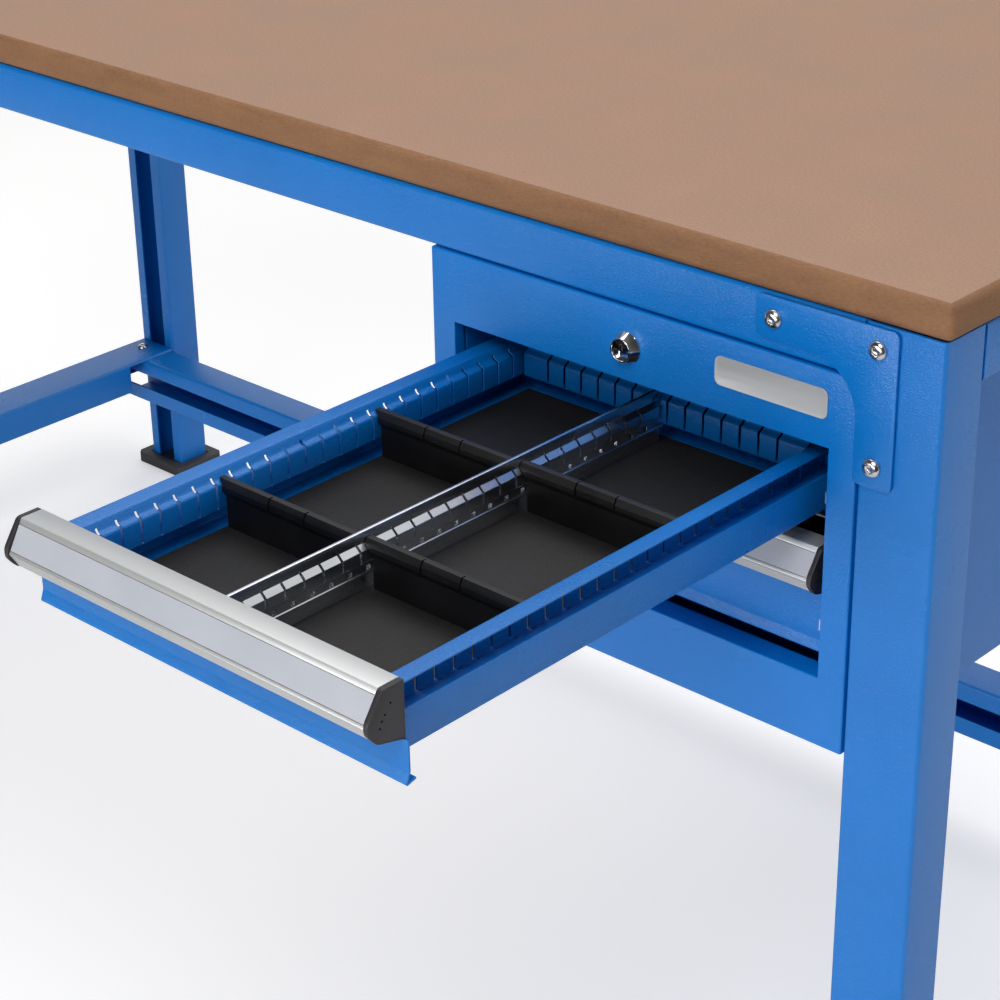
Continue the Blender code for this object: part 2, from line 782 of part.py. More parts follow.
def drawer_slides(name, cabinet, axis, underside, opened, steel):
    """Outer members on the uprights, middle members on their own axis, inner ones on the tray."""
    inner, middle, outer = slide_sections()
    begin = lip_hem + slide_behind_hem
    start = front_y + slide_flange_recess
    end = shut_y + begin + slide_length + slide_step
    middle_axis = empty(name + "_slide_axis", (0, shut_y + begin - opened / 2, underside), cabinet)
    wall = opening_half - fit_gap - slide_sheet
    for side_name, side in (("left", -1), ("right", 1)):

        def member(kind, path, parent, first, last):
            outline = [(side * across, up) for across, up in folded(path, slide_sheet)]
            node = name + "_slide_" + kind + "_" + side_name
            return finish(node, prism(outline, "Y", first, last), steel, parent)

        fixed = member("outer", outer, cabinet, start, end)
        fixed.location.z = underside
        low, high = sorted((0, side * wall))
        front = box((low, start - fit_gap, underside - front_below_tray),
                    (high, shut_y + begin, underside + front_below_tray))
        cut(fixed, finish(name + "_hem_clearance_" + side_name, front, steel, cabinet))
        low, high = sorted((side * (wall - fit_gap), side * opening_half))
        below = box((low, start - fit_gap, underside - front_below_tray),
                    (high, start + slide_tongue_length, underside + slide_flange_rise - slide_tongue_height))
        cut(fixed, finish(name + "_below_tongue_" + side_name, below, steel, cabinet))
        member("middle", middle, middle_axis, slide_step, slide_length)
        member("inner", inner, axis, begin, begin + slide_length)


def wall_path(rim, edge):
    """Middle line of a slotted wall, from its top flange down to the outer wall.

    Distances run outwards; edge is the outer face and rim is the top face.
    """
    outer = edge - tray_sheet / 2
    slotted = edge - tray_slotted_inset + tray_sheet / 2
    top = rim - tray_sheet / 2
    ledge = rim - tray_slotted_height
    return [(edge, top), (edge - tray_flange, top), (slotted + tray_jog, rim - tray_band),
            (slotted, rim - tray_band - tray_jog_height), (slotted, ledge),
            (outer, ledge + tray_ledge_rise)]


def add_stepped_wall(shape, path, split, narrow, wide):
    """A folded wall across X, as one solid: narrow up to the split point of its path, then wide."""
    left = offset_path(path, tray_sheet / 2)
    right = offset_path(path, -tray_sheet / 2)
    whole = left + right[::-1]
    foot = left[split:] + right[split:][::-1]
    sections = []
    for x, outline in ((-wide, foot), (-narrow, whole), (narrow, whole), (wide, foot)):
        sections.append({point: shape.verts.new((x, *point)) for point in outline})
    for near, far, outline in ((0, 1, foot), (1, 2, whole), (2, 3, foot)):
        for first, second in zip(outline, outline[1:] + outline[:1]):
            shape.faces.new((sections[near][first], sections[near][second],
                             sections[far][second], sections[far][first]))
    head = left[:split + 1] + right[:split + 1][::-1]
    for number, outline in ((0, foot), (1, head), (2, head), (3, foot)):
        shape.faces.new([sections[number][point] for point in outline])


def drawer_tray(name, height, paint, parent):
    """Floor and side walls folded from one sheet, with a rear wall and a low front wall welded in."""
    start = front_sheet + fit_gap
    end = start + tray_length
    side = wall_path(height, tray_half) + [(tray_half - tray_sheet / 2, tray_sheet / 2)]
    profile = side + [(-u, v) for u, v in side[::-1]]
    tray = finish(name + "_tray", prism(folded(profile, tray_sheet), "Y", start, end), paint, parent)
    in_floor = tray_sheet / 2
    rear_edge = end - fit_gap
    outer = rear_edge - tray_sheet / 2
    upper = wall_path(height, rear_edge)
    rear = upper + [(outer, height - tray_slotted_height - tray_sheet), (outer, in_floor)]
    wide = tray_half - tray_sheet - fit_gap
    narrow = slotted_half - rear_wall_gap
    walls = bmesh.new()
    add_stepped_wall(walls, rear, len(upper), narrow, wide)
    front = start + fit_gap
    add_box(walls, (-wide, front, in_floor), (wide, front + tray_sheet, tray_front_wall))
    join(tray, finish(name + "_tray_end_walls", walls, paint, parent))
    cut(tray, tray_slots(name, height, end, paint, parent))
    return start, end


def slot_places():
    """Distances of the slots from the front face of a drawer."""
    return [front_sheet + fit_gap + first_slot + number * slot_pitch for number in range(slot_count)]


def tray_slots(name, height, end, paint, parent):
    """Cutter for the slots of both side walls and of the rear wall."""
    top = height - slot_below_rim
    low = height - tray_slotted_height + slot_above_fold
    half = slot_width / 2
    shape = bmesh.new()
    for y in slot_places():
        for side in (-1, 1):
            near, far = sorted((side * (slotted_half - tray_sheet), side * (slotted_half + slot_depth)))
            add_box(shape, (near, y - half, low), (far, y + half, top))
    rear_face = end - tray_slotted_inset
    rear_count = int(slotted_half / slot_pitch - 1)
    for number in range(-rear_count, rear_count):
        x = (number + 0.5) * slot_pitch
        add_box(shape, (x - half, rear_face - tray_sheet, low), (x + half, rear_face + slot_depth, top))
    return finish(name + "_tray_slots", shape, paint, parent)


def drawer_front(name, height, paint, parent):
    """Folded front panel: flat face, a lip that leans forward and a hem turned back.

    Its upper corners are cut away; the end caps of the handle fill them.
    """
    middle = front_sheet / 2
    handle_top = height + tray_below_handle_top
    lip_end = middle - front_below_tray
    hem = middle - lip_forward + lip_hem
    path = [(middle, handle_top - handle_wall - fit_gap), (middle, lip_end + lip_height),
            (middle - lip_forward, lip_end), (hem, lip_end + lip_hem_rise)]
    half = opening_half - front_side_gap
    panel = finish(name + "_front", prism(folded(path, front_sheet), "X", -half, half), paint, parent)
    corners = bmesh.new()
    for side in (-1, 1):
        low, high = sorted((side * (cap_outer - cap_thickness - fit_gap), side * (half + cap_thickness)))
        add_box(corners, (low, -front_sheet, handle_top - handle_height - fit_gap),
                (high, 2 * front_sheet, handle_top))
    cut(panel, finish(name + "_front_corners", corners, paint, parent))


def handle_line(height):
    """Outer line of the handle, from the foot of its back over the top to the end of its lip."""
    top = height + tray_below_handle_top
    return [(-fit_gap, top - handle_height), (-fit_gap, top), (-handle_top_reach, top),
            (-handle_reach, top - handle_nose_drop),
            (handle_lip_back - handle_reach, top - handle_nose_drop - handle_lip_drop)]


def drawer_handle(name, height, alu, card, plastic, parent):
    """Handle rail over the panel's top edge, the label strip in its recess, and a cap on each end."""
    line = handle_line(height)
    foot, back_top, corner, nose, lip_end = (Vector(point) for point in line)
    top = back_top.y
    along = (nose - corner).normalized()
    inwards = Vector((-along.y, along.x))

    def on_face(clearance, depth):
        first = corner + along * (label_top_margin + clearance) + inwards * depth
        last = nose - along * (label_margin + clearance) + inwards * depth
        return first, last

    rim_first, rim_last = on_face(0, 0)
    floor_first, floor_last = on_face(0, label_recess)
    outside = [foot, (-fit_gap, top - handle_wall), (front_sheet, top - handle_wall)]
    outside += rounded_path([(front_sheet, top), corner, rim_first], handle_round, 3)
    outside += [floor_first, floor_last, rim_last, nose, lip_end]
    section = outside + offset_path(line, handle_wall)[::-1]
    half = cap_outer - cap_thickness - fit_gap
    finish(name + "_handle", prism(section, "X", -half, half), alu, parent)
    back_first, back_last = on_face(fit_gap, label_recess - fit_gap)
    face_first, face_last = on_face(fit_gap, label_recess - fit_gap - label_thickness)
    strip = prism([back_first, back_last, face_last, face_first], "X", -half, half)
    finish(name + "_label_strip", strip, card, parent)
    front = -handle_reach - cap_proud
    outline = rounded_path([(front_sheet, top), (-handle_top_reach - cap_proud, top),
                            (front, nose.y + cap_nose_above), (front, nose.y - cap_nose_below),
                            (lip_end.x - cap_proud, lip_end.y - cap_proud), (front_sheet, foot.y)],
                           cap_round, 3)
    for side_name, side in (("left", -1), ("right", 1)):
        start, end = sorted((side * cap_outer, side * (cap_outer - cap_thickness)))
        finish(name + "_end_cap_" + side_name, prism(outline, "X", start, end), plastic, parent)


def drawer_mat(name, start, end, rubber, parent):
    low = tray_sheet + fit_gap
    half = tray_half - tray_sheet - mat_side_gap
    first = start + tray_sheet + mat_front_gap
    last = end - tray_sheet - mat_rear_gap
    finish(name + "_mat", box((-half, first, low), (half, last, low + mat_thickness)), rubber, parent)


def centre_divider(height, start, end, steel, parent):
    """Sheet folded over along the middle of the tray, bulged and slotted on both sides."""
    base = tray_sheet + 2 * fit_gap + mat_thickness
    top = height - divider_sheet / 2
    bulge_top = height - divider_band - divider_jog_height
    bulge_bottom = bulge_top - divider_bulge_height
    wide = divider_half_width + divider_jog
    right = [(divider_half_width, base), (divider_half_width, bulge_bottom - divider_return),
             (wide, bulge_bottom), (wide, bulge_top), (divider_half_width, height - divider_band),
             (divider_half_width, top)]
    path = right + [(-u, v) for u, v in right[::-1]]
    first = start + tray_sheet + divider_end_gap
    last = end - tray_slotted_inset - divider_end_gap
    section = folded(path, divider_sheet)
    divider = finish("upper_centre_divider", prism(section, "Y", first, last), steel, parent)
    shape = bmesh.new()
    half = slot_width / 2
    near = divider_half_width / 2
    far = wide + divider_sheet
    for y in slot_places():
        for side in (-1, 1):
            low, high = sorted((side * near, side * far))
            add_box(shape, (low, y - half, bulge_top - divider_slot_height),
                    (high, y + half, bulge_top - divider_sheet))
    cut(divider, finish("divider_slots", shape, steel, parent))


def end_relief(height, inner, outer):
    """Outlines (u, z) of what is cut from under a divider's ends, so that they clear the jogs."""

    def above(jog, jog_height, sheet):
        """Height that keeps the gap over a jog, measured straight up from its middle line."""
        return (sheet / 2 + fit_gap) * math.hypot(jog, jog_height) / jog

    inner_slope = divider_jog_height / divider_jog
    inner_foot = height - divider_band + above(divider_jog, divider_jog_height, divider_sheet)
    outer_slope = tray_jog_height / tray_jog
    outer_foot = height - tray_band - tray_jog_height + above(tray_jog, tray_jog_height, tray_sheet)
    jog_start = slotted_half + tray_sheet / 2
    far = outer + 2 * cross_ear
    return [[(0, 0), (inner, 0), (inner, inner_foot - (inner - divider_half_width) * inner_slope),
             (0, inner_foot + divider_half_width * inner_slope)],
            [(outer, 0), (outer, outer_foot + (outer - jog_start) * outer_slope),
             (far, outer_foot + (far - jog_start) * outer_slope), (far, 0)]]


def cross_dividers(height, plastic, parent):
    """Black plates with a thick top bead whose ends reach over the jogs, two on each side."""
    base = tray_sheet + 2 * fit_gap + mat_thickness
    top = height - cross_below_rim
    half = cross_plate / 2
    bead = cross_bead_width / 2
    under = top - cross_bead_height
    side_line = [(half, base), (half, under - bead), (bead, under), (bead, top - bead), (bead / 2, top)]
    outline = side_line + [(-u, v) for u, v in side_line[::-1]]
    inner = divider_half_width + divider_jog + divider_sheet / 2 + divider_end_gap
    outer = slotted_half - divider_end_gap
    middle = (inner + outer) / 2
    relief = end_relief(height, inner, outer)
    places = slot_places()
    for row, steps in (("front", front_divider_steps), ("rear", rear_divider_steps)):
        for side_name, side, offset in (("left", -1, cross_offset_left), ("right", 1, cross_offset_right)):
            place = (0, places[steps] + offset, 0)
            start, end = sorted((side * (inner - divider_jog), side * (outer + cross_ear)))
            name = row + "_" + side_name
            plate = prism(outline, "X", start, end)
            divider = finish("cross_divider_" + name, plate, plastic, parent, place)
            ends = bmesh.new()
            for corner in relief:
                add_prism(ends, [(side * u, v) for u, v in corner], "Y", -2 * bead, 2 * bead)
            cut(divider, finish("end_relief_" + name, ends, plastic, parent, place))
            notch = box((side * middle - label_notch_length / 2, -2 * bead, under),
                        (side * middle + label_notch_length / 2, label_notch_depth - bead, top + bead))
            cut(divider, finish("label_notch_" + name, notch, plastic, parent, place))


clear_scene()
blue_paint = material("blue_powder_coat", (0.0, 0.17, 0.58), 0.35)
galvanised = material("galvanised_steel", (0.55, 0.57, 0.6), 0.3, 1.0)
zinc_plate = material("zinc_plated_steel", (0.7, 0.7, 0.72), 0.25, 1.0)
chrome = material("chrome", (0.8, 0.8, 0.82), 0.08, 1.0)
aluminium = material("anodised_aluminium", (0.66, 0.68, 0.68), 0.4, 0.9)
label_card = material("label_card", (0.48, 0.5, 0.56), 0.5)
black_plastic = material("black_plastic", (0.02, 0.02, 0.02), 0.5)
rubber_mat = material("rubber", (0.03, 0.03, 0.03), 0.8)
fibre_board = material("fibre_board", (0.33, 0.2, 0.12), 0.6)

# The origin lies under the middle of the whole box, from the open handle to the rear feet
handle_front = open_y - handle_reach - cap_proud
foot_rear = (frame_depth - leg_depth + foot_depth) / 2
bench_origin = empty("bench_origin", (0, -(handle_front + foot_rear) / 2, 0))
bench_legs = frame_legs(bench_origin, blue_paint)
frame_feet(bench_origin, black_plastic)
bench_aprons = frame_rails(bench_origin, blue_paint)
frame_stretchers(bench_origin, blue_paint, zinc_plate)
frame_gussets(bench_origin, blue_paint, zinc_plate, bench_legs, bench_aprons)
worktop(bench_origin, fibre_board)

cabinet_origin = empty("cabinet_origin", (cabinet_x, 0, 0), bench_origin)
fascia_frame = cabinet_body(cabinet_origin, blue_paint)
cabinet_hanger(cabinet_origin, blue_paint)
cabinet_uprights(cabinet_origin, blue_paint)
nameplate(cabinet_origin, aluminium)
cam_lock(cabinet_origin, chrome, zinc_plate, fascia_frame)

for level, handle_top, front_height, opened in (
        ("upper", upper_handle_top, upper_front_height, drawer_travel),
        ("lower", lower_handle_top, lower_front_height, 0.0)):
    tray_height = front_height - tray_below_handle_top - front_below_tray
    underside = handle_top - tray_below_handle_top - tray_height
    drawer_axis = empty(level + "_drawer_axis", (0, shut_y - opened, underside), cabinet_origin)
    tray_start, tray_end = drawer_tray(level, tray_height, blue_paint, drawer_axis)
    drawer_front(level, tray_height, blue_paint, drawer_axis)
    drawer_handle(level, tray_height, aluminium, label_card, black_plastic, drawer_axis)
    drawer_mat(level, tray_start, tray_end, rubber_mat, drawer_axis)
    drawer_slides(level, cabinet_origin, drawer_axis, underside, opened, galvanised)
    if level == "upper":
        centre_divider(tray_height, tray_start, tray_end, galvanised, drawer_axis)
        cross_dividers(tray_height, black_plastic, drawer_axis)
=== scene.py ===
"""Looks of the steel workbench with its wood-fibre top and hung drawer cabinet."""
import math

import bmesh
import bpy
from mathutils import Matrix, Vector


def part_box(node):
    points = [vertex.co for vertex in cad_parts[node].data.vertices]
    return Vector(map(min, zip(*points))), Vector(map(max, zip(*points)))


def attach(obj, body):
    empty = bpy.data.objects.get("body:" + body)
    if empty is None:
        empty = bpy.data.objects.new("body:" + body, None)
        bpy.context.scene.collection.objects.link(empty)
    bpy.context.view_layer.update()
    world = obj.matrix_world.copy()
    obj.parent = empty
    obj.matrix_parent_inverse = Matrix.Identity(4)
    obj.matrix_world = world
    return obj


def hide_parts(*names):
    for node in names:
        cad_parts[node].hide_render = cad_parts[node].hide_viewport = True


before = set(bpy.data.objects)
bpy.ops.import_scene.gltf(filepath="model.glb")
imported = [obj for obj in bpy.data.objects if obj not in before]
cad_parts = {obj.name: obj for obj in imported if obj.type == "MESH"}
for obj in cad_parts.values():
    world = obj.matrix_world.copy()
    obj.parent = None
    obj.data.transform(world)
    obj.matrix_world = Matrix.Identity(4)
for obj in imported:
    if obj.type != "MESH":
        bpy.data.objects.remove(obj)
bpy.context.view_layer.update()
mm = 0.001


# Worktop
# One board of pressed wood fibre, 25 mm thick, oiled, with its edges eased by a router.
# It lies on the rails under it and is screwed from below.
def uneven_group():
    """Shader group: soft clouds and a fine grain, both from 0 to 1, at scales given per metre."""
    found = bpy.data.node_groups.get("uneven_surface")
    if found:
        return found
    group = bpy.data.node_groups.new("uneven_surface", "ShaderNodeTree")
    for name, way, kind in (("Vector", "INPUT", "Vector"), ("Cloud Scale", "INPUT", "Float"),
                            ("Grain Scale", "INPUT", "Float"), ("Clouds", "OUTPUT", "Float"),
                            ("Grain", "OUTPUT", "Float")):
        group.interface.new_socket(name, in_out=way, socket_type="NodeSocket" + kind)
    nodes = group.nodes
    links = group.links
    given = nodes.new("NodeGroupInput")
    result = nodes.new("NodeGroupOutput")
    for name, scale, detail in (("Clouds", "Cloud Scale", 4.0), ("Grain", "Grain Scale", 2.0)):
        noise = nodes.new("ShaderNodeTexNoise")
        noise.inputs["Detail"].default_value = detail
        spread = nodes.new("ShaderNodeMapRange")
        spread.inputs["From Min"].default_value = 0.3
        spread.inputs["From Max"].default_value = 0.7
        links.new(given.outputs["Vector"], noise.inputs["Vector"])
        links.new(given.outputs[scale], noise.inputs["Scale"])
        links.new(noise.outputs["Fac"], spread.inputs["Value"])
        links.new(spread.outputs["Result"], result.inputs[name])
    return group


def surface(name, dark, light, clouds, grain, roughness, bump, metallic=0.0, stretch=(1, 1, 1), speckle=0.0,
            specular=0.5):
    """Material: two tones mixed by clouds, roughness between two values, and a fine relief in metres."""
    made = bpy.data.materials.new(name)
    made.use_nodes = True
    nodes = made.node_tree.nodes
    links = made.node_tree.links
    shader = nodes["Principled BSDF"]
    shader.inputs["Metallic"].default_value = metallic
    shader.inputs["Specular IOR Level"].default_value = specular
    place = nodes.new("ShaderNodeTexCoord")
    pull = nodes.new("ShaderNodeMapping")
    pull.inputs["Scale"].default_value = stretch
    uneven = nodes.new("ShaderNodeGroup")
    uneven.node_tree = uneven_group()
    uneven.inputs["Cloud Scale"].default_value = clouds
    uneven.inputs["Grain Scale"].default_value = grain
    links.new(place.outputs["Object"], pull.inputs["Vector"])
    links.new(pull.outputs["Vector"], uneven.inputs["Vector"])
    tone = nodes.new("ShaderNodeMix")
    tone.data_type = "RGBA"
    tone.inputs["A"].default_value = (*dark, 1.0)
    tone.inputs["B"].default_value = (*light, 1.0)
    blend = nodes.new("ShaderNodeMix")
    blend.inputs["Factor"].default_value = speckle
    links.new(uneven.outputs["Clouds"], blend.inputs["A"])
    links.new(uneven.outputs["Grain"], blend.inputs["B"])
    links.new(blend.outputs["Result"], tone.inputs["Factor"])
    links.new(tone.outputs["Result"], shader.inputs["Base Color"])
    rough = nodes.new("ShaderNodeMapRange")
    rough.inputs["To Min"].default_value = roughness[0]
    rough.inputs["To Max"].default_value = roughness[1]
    links.new(uneven.outputs["Clouds"], rough.inputs["Value"])
    links.new(rough.outputs["Result"], shader.inputs["Roughness"])
    relief = nodes.new("ShaderNodeBump")
    relief.inputs["Distance"].default_value = bump
    links.new(uneven.outputs["Grain"], relief.inputs["Height"])
    links.new(relief.outputs["Normal"], shader.inputs["Normal"])
    return made


def block(name, low, high):
    """A cube stretched between two corners, with its place in its mesh."""
    bpy.ops.object.select_all(action="DESELECT")
    low = Vector(low)
    high = Vector(high)
    bpy.ops.mesh.primitive_cube_add(size=1, location=(low + high) / 2)
    piece = bpy.context.object
    piece.name = name
    piece.scale = high - low
    bpy.ops.object.transform_apply(location=True, rotation=True, scale=True)
    return piece


def modify(piece, kind, **settings):
    """Add a modifier with these settings and apply it."""
    step = piece.modifiers.new(kind.lower(), kind)
    for key, value in settings.items():
        setattr(step, key, value)
    with bpy.context.temp_override(object=piece, active_object=piece, selected_objects=[piece]):
        bpy.ops.object.modifier_apply(modifier=step.name)


def pick(piece):
    """Make a piece the only selected object and the active one."""
    bpy.ops.object.select_all(action="DESELECT")
    piece.select_set(True)
    bpy.context.view_layer.objects.active = piece


def shade(piece):
    """Shade a piece smooth, except over its sharper edges."""
    pick(piece)
    bpy.ops.object.shade_smooth_by_angle(angle=math.radians(40))


def soften(piece, width, segments=2, angle=30):
    """Round the edges sharper than an angle in degrees and shade the piece smooth between them."""
    modify(piece, "BEVEL", width=width, segments=segments, limit_method="ANGLE",
           angle_limit=math.radians(angle), harden_normals=False)
    shade(piece)


def settle(piece, body, look, slot, *nodes):
    """Give a piece its material and its body, and hide the CAD nodes that it stands for; the slot argument
    is not used.
    """
    piece.data.materials.clear()
    piece.data.materials.append(look)
    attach(piece, body)
    if nodes:
        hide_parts(*nodes)
    return piece


board = surface("wood_fibre_board", dark=(0.29, 0.16, 0.095), light=(0.41, 0.24, 0.157), clouds=18,
                grain=560, roughness=(0.45, 0.65), bump=0.08 * mm, stretch=(1, 0.8, 1), speckle=0.6)
sawn_edge = surface("wood_fibre_edge", dark=(0.2, 0.09, 0.035), light=(0.3, 0.15, 0.07), clouds=30,
                    grain=260, roughness=(0.6, 0.8), bump=0.12 * mm, stretch=(1, 1, 4), speckle=0.5)
routed_edge = 6 * mm
level_normal = 0.985
top = block("worktop_board", *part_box("worktop"))
soften(top, routed_edge, segments=7)
settle(top, "bench", board, "fibre_board", "worktop")
top.data.materials.append(sawn_edge)
for face in top.data.polygons:
    if abs(face.normal.z) < level_normal:
        face.material_index = 1


# Legs
# Four posts folded to a C from 2.5 mm sheet, powder coated, their slots towards the inside.
# Each stands in a black foot and is bolted to the aprons through a corner plate.
def spot(axis, along, u, v):
    """A point of a section (u, v) at a distance along X, Y or Z."""
    if axis == "X":
        return Vector((along, u, v))
    if axis == "Y":
        return Vector((u, along, v))
    return Vector((u, v, along))


def edit(kind):
    """Open the active object in edit mode, to choose its edges or its faces."""
    bpy.ops.object.mode_set(mode="EDIT")
    bpy.ops.mesh.select_mode(type=kind)


def choose(piece, kind, test):
    """In edit mode, select the edges or faces of a piece that pass a test, and nothing else."""
    mesh = bmesh.from_edit_mesh(piece.data)
    for group in (mesh.faces, mesh.edges, mesh.verts):
        for item in group:
            item.select_set(False)
    for item in getattr(mesh, kind):
        if test(item):
            item.select_set(True)
    bmesh.update_edit_mesh(piece.data)


def round_edges(piece, width, segments, test):
    """In edit mode, bevel the edges of a piece that pass a test."""
    choose(piece, "edges", test)
    bpy.ops.mesh.bevel(offset=width, segments=segments, affect="EDGES")


def folded_sheet(name, axis, start, end, path, sheet, radius, steps=4):
    """Sheet folded along a path of (u, v) points in the middle of its thickness, from start to end."""
    bpy.ops.object.select_all(action="DESELECT")
    bpy.ops.mesh.primitive_plane_add(size=1)
    piece = bpy.context.object
    piece.name = name
    edit("EDGE")
    mesh = bmesh.from_edit_mesh(piece.data)
    far = []
    for vert in mesh.verts:
        late = vert.co.x > 0
        vert.co = spot(axis, start if vert.co.y < 0 else end, *(path[1] if late else path[0]))
        if late:
            far.append(vert.index)
    choose(piece, "edges", lambda edge: all(vert.index in far for vert in edge.verts))
    for before, after in zip(path[1:], path[2:]):
        step = spot(axis, 0, after[0] - before[0], after[1] - before[1])
        bpy.ops.mesh.extrude_edges_move(TRANSFORM_OT_translate={"value": step})
    bpy.ops.mesh.select_all(action="SELECT")
    bpy.ops.mesh.normals_make_consistent(inside=False)
    if radius:
        choose(piece, "edges", lambda edge: len(edge.link_faces) == 2)
        bpy.ops.mesh.bevel(offset=radius, segments=steps, affect="EDGES", clamp_overlap=True)
    bpy.ops.object.mode_set(mode="OBJECT")
    modify(piece, "SOLIDIFY", thickness=sheet, offset=0, use_even_offset=True)
    return piece


def c_path(width, depth, lip, sheet):
    """Middle line of a C about (0, 0), with its slot at +depth/2."""
    half_width = (width - sheet) / 2
    half_depth = (depth - sheet) / 2
    lip_end = half_width - lip + sheet / 2
    return [(-lip_end, half_depth), (-half_width, half_depth), (-half_width, -half_depth),
            (half_width, -half_depth), (half_width, half_depth), (lip_end, half_depth)]


def finish_beam(beam, node):
    """Ease the cut edges of a frame piece and coat it."""
    soften(beam, cut_edge, segments=1, angle=50)
    settle(beam, "bench", paint, "blue_powder_coat", node)


frame_sheet = 2.5 * mm
frame_bend = 2.2 * mm
cut_edge = 0.3 * mm
corners = (("front_left", -1, -1), ("front_right", 1, -1), ("rear_left", -1, 1), ("rear_right", 1, 1))
paint = surface("blue_powder_coat_coarse", dark=(0.0, 0.165, 0.56), light=(0.001, 0.185, 0.61), clouds=9,
                grain=850, roughness=(0.22, 0.28), bump=0.2 * mm)
leg_section = c_path(width=60 * mm, depth=45 * mm, lip=15 * mm, sheet=frame_sheet)
for name, _, end in corners:
    low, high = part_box("leg_" + name)
    centre = (low + high) / 2
    path = [(centre.x + u, centre.y - end * v) for u, v in leg_section]
    leg = folded_sheet("leg_post_" + name, "Z", low.z, high.z, path, frame_sheet, frame_bend)
    finish_beam(leg, "leg_" + name)


# Feet
# Moulded black trays that the legs stand in; their corners are cut off and their rims are rounded.
def subtract(piece, tool):
    """Cut the form of another object out of a piece, and delete that object."""
    modify(piece, "BOOLEAN", operation="DIFFERENCE", solver="EXACT", object=tool)
    bpy.data.objects.remove(tool)


def cut_block(piece, low, high):
    """Cut a box out of a piece."""
    subtract(piece, block("cutter", low, high))


foot_black = surface("foot_plastic", dark=(0.028, 0.027, 0.028), light=(0.045, 0.043, 0.045), clouds=40,
                     grain=900, roughness=(0.5, 0.65), bump=0.08 * mm)
foot_corner = 6 * mm
foot_floor = 5 * mm
leg_play = Vector((1.5 * mm, 1.5 * mm, 0))
for name, _, _ in corners:
    low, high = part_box("foot_" + name)
    foot = block("foot_tray_" + name, low, high)
    edit("EDGE")
    round_edges(foot, foot_corner, 1, lambda edge: edge.verts[0].co.xy == edge.verts[1].co.xy)
    bpy.ops.object.mode_set(mode="OBJECT")
    leg_low, leg_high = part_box("leg_" + name)
    cut_block(foot, (*(leg_low - leg_play).xy, foot_floor), (*(leg_high + leg_play).xy, high.z + 9 * mm))
    soften(foot, 1.1 * mm, segments=3)
    settle(foot, "bench", foot_black, "black_plastic", "foot_" + name)

# Rails and stretchers
# Aprons and end rails are C sections under the top; the stretchers near the floor brace the legs.
# The rear stretcher runs through a notch into each end stretcher and is held by one bolt there.
rail_section = c_path(width=40 * mm, depth=60 * mm, lip=10 * mm, sheet=frame_sheet)
brace_section = c_path(width=60 * mm, depth=45 * mm, lip=20 * mm, sheet=frame_sheet)
for name, inwards, section in (("front_apron", 1, rail_section), ("rear_apron", -1, rail_section),
                               ("rear_stretcher", -1, brace_section)):
    low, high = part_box(name)
    centre = (low + high) / 2
    path = [(centre.y + inwards * v, centre.z + u) for u, v in section]
    rail = folded_sheet(name + "_rail", "X", low.x, high.x, path, frame_sheet, frame_bend)
    finish_beam(rail, name)
for name, inwards in (("side_rail_left", 1), ("side_rail_right", -1)):
    low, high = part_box(name)
    centre = (low + high) / 2
    path = [(centre.x + inwards * v, centre.z + u) for u, v in rail_section]
    rail = folded_sheet(name + "_beam", "Y", low.y, high.y, path, frame_sheet, frame_bend)
    finish_beam(rail, name)

beam_height = 40 * mm
beam_section = c_path(width=60 * mm, depth=beam_height, lip=14 * mm, sheet=frame_sheet)
notch_start = 27 * mm
notch_play = 1.5 * mm
bearing_gap = 0.15 * mm
overshoot = 5 * mm
brace_low, brace_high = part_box("rear_stretcher")
for name, side in (("left", -1), ("right", 1)):
    low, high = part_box("side_stretcher_" + name)
    centre = (low + high) / 2
    path = [(centre.x + u, low.z + beam_height / 2 - v) for u, v in beam_section]
    beam = folded_sheet("side_stretcher_beam_" + name, "Y", low.y, high.y, path, frame_sheet, frame_bend)
    notch = sorted((centre.x - side * 32 * mm, side * (brace_high.x + notch_play)))
    cut_block(beam, (notch[0], brace_low.y - notch_start, low.z - overshoot),
              (notch[1], high.y + overshoot, brace_high.z + bearing_gap))
    finish_beam(beam, "side_stretcher_" + name)

# Corner plates and screws
# L-shaped plates with a wide inner curve tie each leg to an apron with three button-head screws.
# The screws are zinc plated with a hexagon socket; the same ones hold the rear stretcher.
plate_size = 110 * mm
plate_sheet = 2.5 * mm
plate_gap = 0.3 * mm
arm = 29.5 * mm
inner_curve = 37 * mm
outer_curve = 5 * mm
tolerance = 0.1 * mm
# Each ring of a screw's dome: its rise in mm and the share of the radius that it keeps.
screw_dome = ((0.9, 0.95), (0.9, 0.9), (0.7, 0.82), (0.4, 0.84))
head_radius = 6.75 * mm
socket_radius = 2.9 * mm
socket_floor = 1.9 * mm
zinc = surface("zinc_plating", dark=(0.5, 0.5, 0.5), light=(0.75, 0.75, 0.76), clouds=300, grain=900,
               roughness=(0.16, 0.3), bump=0.01 * mm, metallic=1.0)


